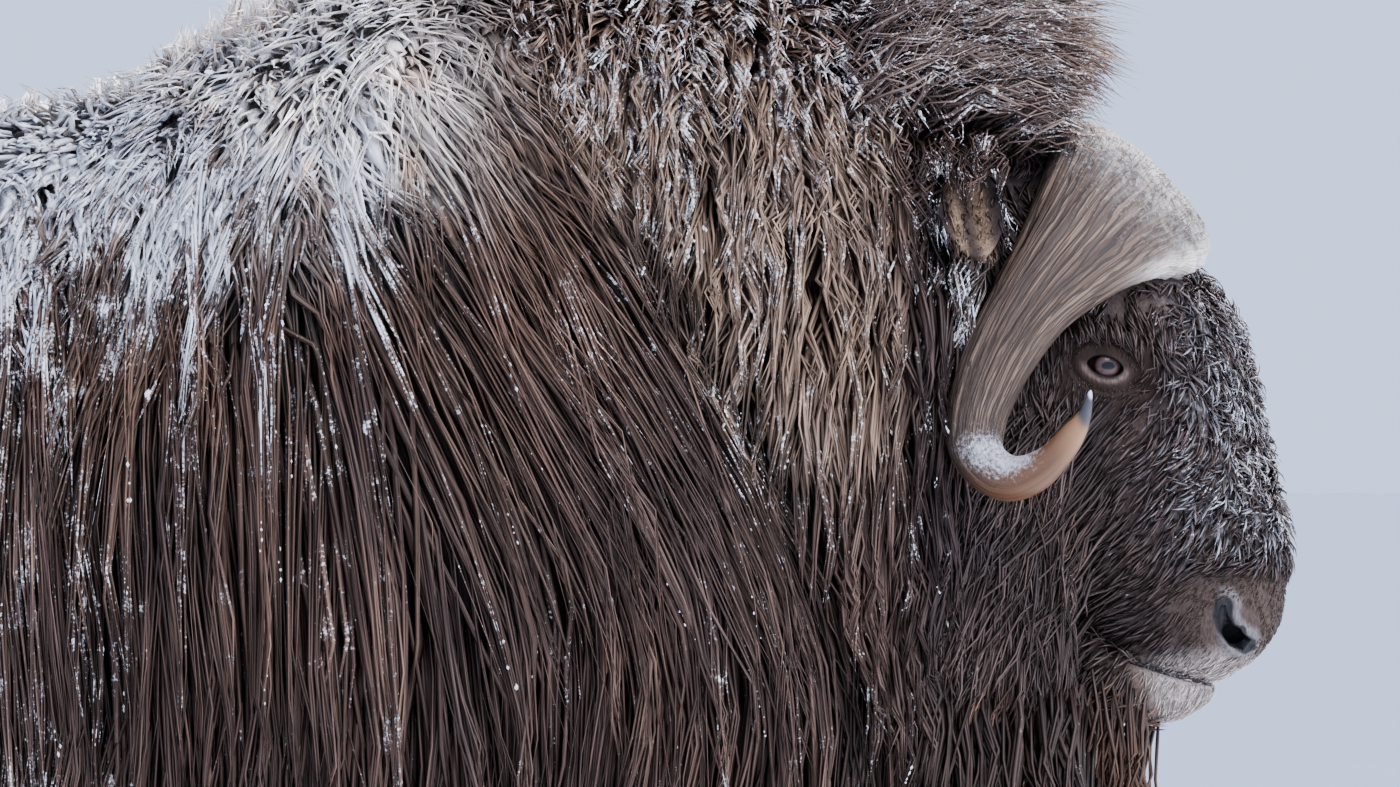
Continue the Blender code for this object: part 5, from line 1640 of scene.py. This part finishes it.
def make_crumbs(rng, coats, count, material):
    """Small lumps of frost, in chains along the outer strands."""
    octahedron = np.array(((1, 0, 0), (-1, 0, 0), (0, 1, 0), (0, -1, 0), (0, 0, 1), (0, 0, -1)))
    faces = np.array(
        ((0, 2, 4), (2, 1, 4), (1, 3, 4), (3, 0, 4), (2, 0, 5), (1, 2, 5), (3, 1, 5), (0, 3, 5))
    )
    centres, aheads, sizes = [], [], []
    for coat, share in coats:
        chances = []
        index = []
        for group, (paths, outward, frost) in enumerate(coat.paths):
            chances.append(np.clip(frost, 0.03, 1) ** 0.8)
            index.append(np.stack((np.full(len(frost), group), np.arange(len(frost))), axis=-1))
        chances, index = np.concatenate(chances), np.concatenate(index)
        wanted = int(count * share)
        chosen = rng.choice(len(chances), wanted // 4, p=chances / chances.sum())
        for group, n in index[chosen]:
            path, outward, frost = coat.paths[group]
            path, outward = path[n], outward[n]
            start = rng.uniform(0.35, 0.95)
            step = rng.uniform(0.010, 0.045)
            size = rng.uniform(0.0005, 0.0011) * (1 + 1.1 * frost[n])
            for k in range(4):
                at = min(0.999, start + k * step) * (len(path) - 1)
                low = int(at)
                point = mix(path[low], path[low + 1], at - low)
                centres.append(point + outward[low] * 0.002 + rng.normal(0, 0.0012, 3))
                aheads.append(path[low + 1] - path[low])
                sizes.append(size * rng.uniform(0.6, 1.5))
    centres, aheads, sizes = np.array(centres), unit(np.array(aheads)), np.array(sizes)
    aside = unit(np.cross(aheads, rng.normal(0, 1, aheads.shape)))
    third = np.cross(aheads, aside)
    long = rng.uniform(1.0, 2.4, len(sizes))
    verts = (
        centres[:, None]
        + aheads[:, None] * (octahedron[None, :, :1] * (sizes * long)[:, None, None])
        + aside[:, None] * (octahedron[None, :, 1:2] * sizes[:, None, None])
        + third[:, None] * (octahedron[None, :, 2:] * sizes[:, None, None])
    )
    tris = (faces[None] + (np.arange(len(sizes)) * 6)[:, None, None]).reshape(-1, 3)
    mesh = mesh_from("frost_crumbs", verts.reshape(-1, 3), tris, smooth=False)
    patch = np.array(((0, 0), (1, 0), (1, 1), (0, 1), (0.5, 0), (0.5, 1))) * CHART_PATCH
    chart = plain_chart(centres)[:, None] + patch[None]
    set_uv(mesh, "OFBake", chart.reshape(-1, 2)[tris.ravel()])
    mesh.materials.append(material)
    piece = object_from("frost_crumbs", mesh)
    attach(piece, "root")


# Horns, eyes and hooves


def horn_form(count, sides):
    """Smooth rings of a horn from the boss to its blunt round point, and their middles."""
    table = with_station(HORN_STATIONS)
    rows = read_rows(table, np.linspace(0, len(table) - 1, count))
    rear, front = rows[:, (1, 5, 2)], rows[:, (3, 5, 4)]
    middle, across = (rear + front) / 2, (front - rear) / 2
    ahead = unit(np.gradient(middle, axis=0))
    out = unit(np.cross(across, ahead)) * rows[:, 6:7]
    end = np.clip(np.linspace(0, 1, count) * 14 - 13, 0, 0.975)[:, None]
    blunt = (17 - 10 * end) * np.sqrt(1 - end**6) / (17 - 15 * end)
    across, out = across * blunt, out * blunt
    along, up = oval(circle(sides), 2.2)
    rings = middle[:, None] + across[:, None] * along[None, :, None] + out[:, None] * up[None, :, None]
    return rings, middle


def make_horn(name, side, material):
    """A horn with its lengthwise ridges and the swirls of its boss raised."""
    count, sides = 150, 72
    rings, middle = horn_form(count, sides)
    t, front = np.linspace(0, 1, count)[:, None], np.cos(circle(sides))[None]
    grain = points_at(front, np.sin(circle(sides))[None], t)
    fibre = lattice_noise(grain.reshape(-1, 3) * (13, 13, 7), 1, 41).reshape(count, sides)
    fine = lattice_noise(grain.reshape(-1, 3) * (30, 30, 11), 1, 42).reshape(count, sides)
    rough = lattice_noise(rings.reshape(-1, 3), 95, 43).reshape(count, sides)
    grooved = until(t, 0.42, 0.62)
    boss = until(t, 0.10, 0.26)
    swollen = until(t, 0.16, 0.28) * ramp(front, 0.60, 0.90)
    height = grooved * (0.0034 * (fibre - 0.5) + 0.0026 * (fine - 0.5)) + boss * 0.0045 * (rough - 0.5)
    height = height + swollen * 0.0070 * (rough - 0.25)
    rings = rings + unit(rings - middle[:, None]) * height[..., None]
    rings[..., 1] = np.maximum(rings[..., 1], HORN_GAP / 2)
    horn = loft(name, rings * np.array((1, side, 1)))
    mesh = horn.data
    # The material reads how far along the horn a point is, and how near its front edge
    marks = np.stack(np.broadcast_arrays(t, ramp(front, 0.74, 0.97), 0.0, 1.0), axis=-1).reshape(-1, 4)
    set_colour(mesh, "horn", np.concatenate((marks, ((0, 0.5, 0, 1), (1, 0, 0, 1)))))
    layer = mesh.attributes.new("grain", "FLOAT_VECTOR", "POINT")
    layer.data.foreach_set("vector", flat(np.concatenate((grain.reshape(-1, 3), ((0, 0, 0), (0, 0, 1))))))
    mesh.shade_smooth()
    mesh.materials.append(material)
    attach(horn, "root")
    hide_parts(name)
    return horn


def make_eye(name, side, material):
    """An eyeball with a domed cornea, whose iris and pupil are marked on its points."""
    centre = eye_centre(side)
    eye = ellipsoid("eye_ball_left" if side > 0 else "eye_ball_right", centre, (EYE_RADIUS,) * 3, 96, 64)
    gaze = np.array((0.16, side * 0.985, 0.02))
    gaze = gaze / np.linalg.norm(gaze)
    points = coords(eye.data)
    outward = unit(points - np.array(centre))
    level = unit(np.cross(gaze, np.array((0, 0, 1.0))))
    right, high = outward @ level, outward @ np.cross(level, gaze)
    in_front = outward @ gaze > 0
    ring = np.where(in_front, np.hypot(right / 1.18, high), 2.0)
    pupil = np.where(in_front, np.hypot(right / 1.75, high), 2.0)
    cornea = 0.0009 * until(ring, 0.45, 0.68)
    set_coords(eye.data, points + outward * cornea[:, None])
    turn = np.arctan2(high, right) / 6.2832 + 0.5
    set_colour(eye.data, "eye", np.stack((ring, pupil, turn, np.ones(len(ring))), axis=-1))
    eye.data.materials.append(material)
    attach(eye, "root")
    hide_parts(name)


def make_claw(foot, place, foot_x, foot_y, side, material):
    """One claw with a rounded sole, and the dewclaw behind it."""
    levels = read_rows(CLAW_LEVELS, np.linspace(0, CLAW_LEVELS[-1, 0], 22))
    ahead, across = oval(circle(40), 2.5)
    rings = []
    for number, (z, length, width) in enumerate(levels):
        back = CLAW_SLANT * z / CLAW_LEVELS[-1, 0]
        swell = 1 + 0.006 * math.sin(number * 1.9)
        inner = CLAW_CLEFT / 2 + CLAW_WIDTH * (1 - width) / 2
        x = foot_x + CLAW_AHEAD - back + CLAW_LENGTH / 2 * length * ahead * swell
        y = foot_y + side * (inner + CLAW_WIDTH * width * (across * 0.5 + 0.5))
        rings.append(points_at(x, y, max(0.0, z)))
    rim = rings[0] * np.array((1, 1, 0))
    rings[0] = mix(rim.mean(axis=0), rim, 0.965)
    rings.insert(1, rim + np.array((0, 0, 0.0025)))
    claw = loft(f"hoof_{foot}_{place}", np.array(rings))
    claw.data.shade_smooth()
    claw.data.materials.append(material)
    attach(claw, "root")
    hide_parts(f"claw_{foot}_{place}")
    at = DEWCLAW_PLACE * Vector((1, side, 1)) + Vector((foot_x, foot_y, 0))
    dewclaw = ellipsoid(f"spur_{foot}_{place}", at, DEWCLAW_SIZE, 24, 16)
    dewclaw.data.materials.append(material)
    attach(dewclaw, "root")
    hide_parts(f"dewclaw_{foot}_{place}")


# Materials


class Graph:
    """The nodes of a material. Most methods make a node and return the socket of its result."""

    def __init__(self, name):
        self.material = bpy.data.materials.new(name)
        self.material.use_nodes = True
        self.tree = self.material.node_tree
        self.shader = self.tree.nodes["Principled BSDF"]

    def feed(self, socket, value):
        """Links a socket to another one, or sets it to a number, a vector or a colour."""
        if isinstance(value, bpy.types.NodeSocket):
            self.tree.links.new(value, socket)
        elif isinstance(value, tuple) and len(value) < len(socket.default_value):
            socket.default_value = (*value, 1)
        else:
            socket.default_value = value

    def node(self, kind, inputs=None, **settings):
        made = self.tree.nodes.new("ShaderNode" + kind)
        for key, value in settings.items():
            setattr(made, key, value)
        for key, value in (inputs or {}).items():
            self.feed(made.inputs[key], value)
        return made

    def attribute(self, name):
        return self.node("Attribute", attribute_name=name).outputs

    def place(self):
        """The place on the object."""
        return self.node("TexCoord").outputs["Object"]

    def parts(self, kind, source):
        """The three parts of a colour or a vector."""
        return self.node(kind, {0: source}).outputs

    def math(self, operation, *values):
        return self.node("Math", dict(enumerate(values)), operation=operation).outputs[0]

    def add(self, first, second):
        return self.math("ADD", first, second)

    def times(self, first, second):
        return self.math("MULTIPLY", first, second)

    def ramp(self, value, start, end, low=0.0, high=1.0):
        """Low before the start and high after the end, smooth between."""
        inputs = {"Value": value, "From Min": start, "From Max": end, "To Min": low, "To Max": high}
        return self.node("MapRange", inputs, interpolation_type="SMOOTHSTEP").outputs["Result"]

    def mix(self, factor, first, second):
        return self.node("Mix", {"Factor": factor, 6: first, 7: second}, data_type="RGBA").outputs[2]

    def noise(self, vector, scale, detail=2.0, roughness=0.5):
        inputs = {"Vector": vector, "Scale": scale, "Detail": detail, "Roughness": roughness}
        return self.node("TexNoise", inputs).outputs["Fac"]

    def stretched(self, vector, scale):
        return self.node("VectorMath", {0: vector, 1: scale}, operation="MULTIPLY").outputs[0]

    def brightened(self, colour, amount):
        return self.node("VectorMath", {0: colour, "Scale": amount}, operation="SCALE").outputs[0]

    def bump(self, height, distance, strength=1.0):
        inputs = {"Height": height, "Distance": distance, "Strength": strength}
        return self.node("Bump", inputs).outputs["Normal"]

    def finish(self, inputs):
        """Feeds the shader and returns the material."""
        for name, value in inputs.items():
            self.feed(self.shader.inputs[name], value)
        return self.material


def coat_material():
    """Hair in the colours of its points, streaked along each strand with painted hairs and painted shade in
    the gaps between them, and white where frost lies.
    """
    graph = Graph("hair")
    colour = graph.attribute("coat")
    strand = graph.node("UVMap", uv_map="strand").outputs[0]
    place = graph.place()
    streak = graph.noise(graph.stretched(strand, (1, 12, 1)), 1.0, 2.0)
    # The streaks brighten the painted hairs and darken between them: painted shade in the gaps between
    # hairs
    tint = graph.brightened(colour["Color"], graph.ramp(streak, 0.34, 0.66, 0.42, 1.50))
    speck = graph.noise(place, 330.0, 3.0, 0.65)
    patch = graph.noise(place, 42.0, 2.0)
    grainy = graph.ramp(graph.add(speck, graph.times(patch, 0.65)), 0.56, 1.10, 0.0, 0.6)
    frost = graph.ramp(graph.add(colour["Alpha"], grainy), 0.62, 0.78)
    return graph.finish({
        "Base Color": graph.mix(frost, tint, FROST),
        "Roughness": graph.ramp(frost, 0.0, 1.0, 0.48, 0.75),
        "Specular IOR Level": 0.35,
        "Normal": graph.bump(streak, 0.0006, 0.6),
    })


def frost_material():
    graph = Graph("frost")
    speck = graph.noise(graph.place(), 300.0)
    return graph.finish({
        "Base Color": graph.mix(speck, (0.74, 0.75, 0.80), (0.92, 0.92, 0.94)),
        "Roughness": 0.5,
        "Subsurface Weight": 0.15,
        "Subsurface Scale": 0.002,
    })


def skin_material():
    """The skin under the hair, with fur as bump and the coat's own colours."""
    graph = Graph("skin")
    colour = graph.attribute("skin")
    fur = graph.noise(graph.stretched(graph.place(), (1, 1, 0.35)), 520.0, 4.0, 0.6)
    return graph.finish({
        "Base Color": graph.brightened(colour["Color"], graph.ramp(fur, 0.25, 0.75, 0.55, 1.40)),
        "Roughness": graph.ramp(colour["Alpha"], 0.0, 1.0, 0.72, 0.34),
        "Specular IOR Level": 0.4,
        "Normal": graph.bump(fur, 0.0008, 0.7),
    })


def horn_ridges(graph, grain, place, along):
    """Thin wavy grooves that run along the horn and swirl on the boss: 0 in them, 1 between."""

    def grooves(scale, half_width):
        wavy = graph.noise(graph.stretched(grain, scale), 1.0, 2.0)
        off = graph.math("ABSOLUTE", graph.math("SUBTRACT", wavy, 0.5))
        return graph.ramp(off, 0.0, half_width)

    warp = graph.noise(graph.stretched(grain, (2.5, 2.5, 7)), 1.0, 3.0)
    swirl = graph.times(graph.noise(place, 26.0, 2.0), graph.ramp(along, 0.05, 0.30, 5.0, 0.6))
    line = graph.times(graph.parts("SeparateXYZ", grain)["X"], 9.0)
    line = graph.add(graph.add(line, graph.times(warp, 4.0)), swirl)
    wave = graph.math("SINE", graph.times(line, 2 * math.pi))
    broad = grooves((8.0, 8.0, 6.0), 0.075)
    fine = grooves((17.0, 17.0, 13.0), 0.080)
    ridged = graph.times(broad, graph.add(graph.times(fine, 0.50), 0.50))
    return graph.times(graph.ramp(ridged, 0.0, 1.0, 0.35, 1.0), graph.ramp(wave, 0.50, 0.95, 1.0, 0.22))


def horn_keratin(graph, grain, along, ridged, grey):
    """The horn's colour: pale grey on the boss, brown, then tan with a dark blunt point, whose very end is
    a painted highlight.
    """
    shade = graph.noise(graph.stretched(grain, (5, 5, 4)), 1.0, 3.0)
    body = graph.mix(graph.ramp(shade, 0.3, 0.7), (0.108, 0.067, 0.049), (0.265, 0.183, 0.135))
    upper = graph.mix(ridged, (0.028, 0.019, 0.016), body)
    boss = graph.mix(graph.ramp(grey, 0.40, 0.60), (0.110, 0.088, 0.078), (0.460, 0.430, 0.410))
    boss = graph.mix(0.50, boss, upper)
    tan_end = graph.mix(shade, (0.105, 0.047, 0.026), (0.235, 0.122, 0.066))
    tan_end = graph.mix(graph.ramp(along, 0.82, 0.91), tan_end, (0.330, 0.180, 0.095))
    colour = graph.mix(graph.ramp(along, 0.12, 0.26), boss, upper)
    # The last band, pale blue grey at the very end of the point, is a painted highlight
    for start, end, after in (
        (0.58, 0.76, tan_end), (0.915, 0.945, (0.060, 0.056, 0.066)), (0.985, 0.995, (0.66, 0.68, 0.72))
    ):
        colour = graph.mix(graph.ramp(along, start, end), colour, after)
    return colour


def horn_frost(graph, place, along, front_edge):
    """Frost on the lower bend and on the top and front edge of the boss, and that edge itself."""
    normal = graph.node("NewGeometry").outputs["Normal"]
    face_up = graph.ramp(graph.parts("SeparateXYZ", normal)["Z"], -0.45, 0.55)
    low = graph.times(graph.ramp(along, 0.50, 0.62), graph.ramp(along, 0.88, 0.74))
    low = graph.times(low, graph.add(graph.times(face_up, 0.85), 0.15))
    edge = graph.times(front_edge, graph.ramp(along, 0.30, 0.18))
    boss_top = graph.times(face_up, graph.ramp(along, 0.34, 0.16))
    frost = graph.add(graph.times(low, 0.37), graph.noise(place, 240.0, 5.0, 0.8))
    frost = graph.add(frost, graph.times(edge, 0.13))
    frost = graph.add(frost, graph.times(boss_top, 0.20))
    return graph.ramp(frost, 0.66, 0.98, 0.0, 0.85), edge


def horn_material():
    graph = Graph("horn_keratin")
    along, front_edge, _ = graph.parts("SeparateColor", graph.attribute("horn")["Color"])
    grain = graph.attribute("grain")["Vector"]
    place = graph.place()
    grey = graph.noise(place, 85.0, 5.0, 0.7)
    ridged = horn_ridges(graph, grain, place, along)
    colour = horn_keratin(graph, grain, along, ridged, grey)
    frost, edge = horn_frost(graph, place, along, front_edge)
    colour = graph.mix(frost, colour, (0.70, 0.72, 0.77))
    crust = graph.times(graph.math("POWER", edge, 1.25), graph.ramp(grey, 0.30, 0.55, 0.45, 1.0))
    height = graph.add(ridged, graph.times(grey, 0.4))
    height = graph.times(height, graph.ramp(along, 0.52, 0.72, 1.0, 0.06))
    return graph.finish({
        "Base Color": graph.mix(crust, colour, (0.860, 0.790, 0.720)),
        "Roughness": graph.ramp(along, 0.50, 0.75, 0.60, 0.34),
        "Normal": graph.bump(height, 0.0016),
    })


def eye_material():
    """A dark iris with fine fibres round a wide pupil, brown at the edge, under a wet coat."""
    graph = Graph("eye_ball")
    ring, pupil, angle = graph.parts("SeparateColor", graph.attribute("eye")["Color"])
    fan = graph.node("CombineXYZ", {0: graph.times(angle, 70.0), 1: graph.times(ring, 4.0)}).outputs[0]
    iris = graph.mix(graph.noise(fan, 1.0, 3.0), (0.048, 0.027, 0.025), (0.130, 0.080, 0.074))
    colour = graph.mix(graph.ramp(pupil, 0.16, 0.22), (0.008, 0.009, 0.013), iris)
    colour = graph.mix(graph.ramp(ring, 0.46, 0.56), colour, (0.016, 0.010, 0.008))
    colour = graph.mix(graph.ramp(ring, 0.62, 0.78), colour, (0.075, 0.043, 0.038))
    return graph.finish({
        "Base Color": colour,
        "Roughness": 0.30,
        "Specular IOR Level": 0.25,
        "Coat Weight": 0.40,
        "Coat Roughness": 0.05,
    })


def hoof_material():
    """Dark keratin in rings and upright fibres, with some pale dust."""
    graph = Graph("hoof_keratin")
    place = graph.place()
    rings = graph.noise(graph.stretched(place, (6, 6, 260)), 1.0, 3.0)
    fibre = graph.noise(graph.stretched(place, (420, 420, 30)), 1.0, 3.0)
    both = graph.times(graph.add(rings, fibre), 0.5)
    colour = graph.mix(graph.ramp(both, 0.35, 0.65), (0.020, 0.017, 0.015), (0.085, 0.070, 0.058))
    dust = graph.ramp(graph.noise(place, 90.0, 4.0, 0.7), 0.62, 0.75)
    return graph.finish({
        "Base Color": graph.mix(dust, colour, (0.45, 0.45, 0.47)),
        "Roughness": graph.ramp(both, 0.3, 0.7, 0.55, 0.38),
        "Normal": graph.bump(both, 0.0008, 0.8),
    })


def colour_skin(skin, nostrils):
    """Gives the skin the coat's markings, and its bare places their own colours."""
    points = coords(skin.data)
    x, y, z = points.T
    _, tips, _ = trunk_markings(points)
    saddle = ramp(z, 1.00, 1.08) * until(x, 0.25, 0.42)
    body = dyed(mix(tips, DARK, 0.80) * 0.35, (0.66, 0.62, 0.60), 0.85 * saddle)
    body = dyed(body, tips * 0.80, ramp(z, 1.10, 1.20) * ramp(x, 0.0, 0.3))
    _, face, _ = head_markings(points)
    rgb = dyed(body, face * 0.75, ramp(x, 0.755, 0.800) * ramp(z, 0.60, 0.66))
    rgb = np.where(on_ear(points)[:, None], ear_rgb(points) * 0.9, rgb)
    rgb = dyed(rgb, STOCKING * 0.8, until(z, 0.26, 0.36) * (z < 0.45))
    wet = np.zeros(len(points))
    _, up = from_eye(points)
    ring = eye_ring(points)
    for side, path in zip(SIDES, nostrils):
        away = distance_to_path(points, path)
        inside = until(away, 0.0075, 0.0100)
        deep = path[2] + np.array(nostril_depth(side))
        inside = np.maximum(inside, np.linalg.norm(points - deep, axis=1) < 0.0155)
        around = until(away, 0.013, 0.021) * ramp(x, 1.000, 1.016)
        rgb = dyed(rgb, (0.165, 0.150, 0.155), 0.85 * around)
        # The inside of each nostril is painted near black: painted shade in the hole
        rgb = dyed(rgb, (0.018, 0.017, 0.020), inside)
        wet = np.maximum(wet, around * 0.8)
        near = np.abs(y - eye_centre(side).y) < 0.05
        bare = near * until(ring, 0.036, 0.052)
        rgb = dyed(rgb, (0.023, 0.009, 0.005), 0.95 * bare)
        rim = near * bell(ring, 0.0135, 0.0024) * ramp(-up, -0.004, 0.006)
        rgb = dyed(rgb, (0.170, 0.118, 0.105), 0.85 * rim)
        line = near * until(ring, 0.0105, 0.0122)
        rgb = dyed(rgb, (0.016, 0.011, 0.010), 0.9 * line)
        wet = np.maximum(wet, 0.12 * bare)
    line = ramp(x, 0.925, 0.950) * bell(z, mouth_height(x), 0.0022)
    rgb = dyed(rgb, (0.05, 0.035, 0.030), 0.85 * line * (z < 0.71))
    # A painted shadow under the face hair that overhangs the muzzle
    overhang_shadow = ramp(x, 0.945, 0.985) * bell(z, 0.783, 0.012)
    rgb = dyed(rgb, DARK * 0.3, overhang_shadow)
    set_colour(skin.data, "skin", np.concatenate((rgb, wet[:, None]), axis=1))


# Camera, floor and light

VIEW_CENTRE = Vector((0.532, 0.0, 0.937))
VIEW_WIDTH = 1.288
VIEW_DISTANCE = 13.0
SENSOR = 36.0
FLOOR_SIZE = 240
SKY = (0.62, 0.74, 1.02, 1)
SKY_STRENGTH = 1.22
LIGHT_AIM = Vector((0.4, 0, 0.9))
# The name, place, size, power and colour of each light
LIGHTS = (
    ("key", (2.5, -4.0, 6.0), 4.0, 300, (1.0, 0.97, 0.94)),
    ("front", (6.0, -2.0, 3.5), 3.5, 200, (0.94, 0.97, 1.0)),
    ("back", (2.0, 5.0, 5.0), 3.5, 650, (1.0, 0.94, 0.88)),
)


def make_floor():
    bpy.ops.mesh.primitive_plane_add(size=FLOOR_SIZE, location=(0, 0, 0))
    floor = bpy.context.object
    floor.name = "floor"
    graph = Graph("floor")
    soft = graph.noise(graph.place(), 3.0)
    snow = graph.mix(soft, (0.88, 0.89, 0.91), (0.93, 0.94, 0.95))
    floor.data.materials.append(graph.finish({"Base Color": snow, "Roughness": 0.9}))


def make_lights():
    world = bpy.data.worlds.new("studio")
    bpy.context.scene.world = world
    world.use_nodes = True
    background = world.node_tree.nodes["Background"]
    background.inputs["Color"].default_value = SKY
    background.inputs["Strength"].default_value = SKY_STRENGTH
    for name, place, size, power, colour in LIGHTS:
        data = bpy.data.lights.new(name, "AREA")
        data.energy, data.size, data.color = power, size, colour
        light = object_from(name, data)
        light.location = place
        light.rotation_euler = (LIGHT_AIM - Vector(place)).to_track_quat("-Z", "Y").to_euler()


def make_camera():
    data = bpy.data.cameras.new("camera")
    data.sensor_width = SENSOR
    data.lens = SENSOR * VIEW_DISTANCE / VIEW_WIDTH
    camera = object_from("camera", data)
    camera.location = VIEW_CENTRE - Vector((0, VIEW_DISTANCE, 0))
    camera.rotation_euler = (math.pi / 2, 0, 0)
    bpy.context.scene.camera = camera
    bpy.context.scene.view_settings.view_transform = "AgX"
    bpy.context.scene.view_settings.look = "AgX - Medium High Contrast"


FLESH = (
    "head", "neck", "shoulders", "torso", "hindquarters", "tail", "ear_left", "ear_right",
    "leg_front_left", "leg_front_right", "leg_rear_left", "leg_rear_right",
)


def make_hard_parts():
    """Horns, eyes and claws, of which the horns are given back."""
    keratin = horn_material()
    horns = [make_horn("horn_left", 1, keratin), make_horn("horn_right", -1, keratin)]
    horns[0].name, horns[1].name = "horn_keratin_left", "horn_keratin_right"
    gloss = eye_material()
    make_eye("eye_left", 1, gloss)
    make_eye("eye_right", -1, gloss)
    keratin = hoof_material()
    for foot, (_, foot_x, foot_y) in FEET.items():
        outward = math.copysign(1, foot_y)
        make_claw(foot, "outer", foot_x, foot_y, outward, keratin)
        make_claw(foot, "inner", foot_x, foot_y, -outward, keratin)
    return horns


def main():
    make_floor()
    make_lights()
    make_camera()
    horns = make_hard_parts()

    head, nostrils = make_head()
    skin = make_skin(head)
    colour_skin(skin, nostrils)
    skin.data.materials.clear()
    skin.data.materials.append(skin_material())
    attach(skin, "root")
    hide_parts(*FLESH)

    rng = np.random.default_rng(SEED)
    skin_tree = tree_of(skin.data)
    long_hair = grow_flanks(rng)
    mane = grow_mane(rng)
    wool = grow_wool(rng)
    front = grow_front(rng, skin_tree)
    face = grow_face(rng, skin, skin_tree, tree_of(*(horn.data for horn in horns)))
    legs = grow_legs(rng, skin, skin_tree)
    ears = grow_ears(rng, skin)
    hair = coat_material()
    for coat in (long_hair, mane, wool, front, face, legs, ears):
        coat.finish(hair)
    crumbs = ((long_hair, 0.42), (mane, 0.14), (wool, 0.34), (front, 0.10))
    make_crumbs(rng, crumbs, CRUMBS, frost_material())


main()
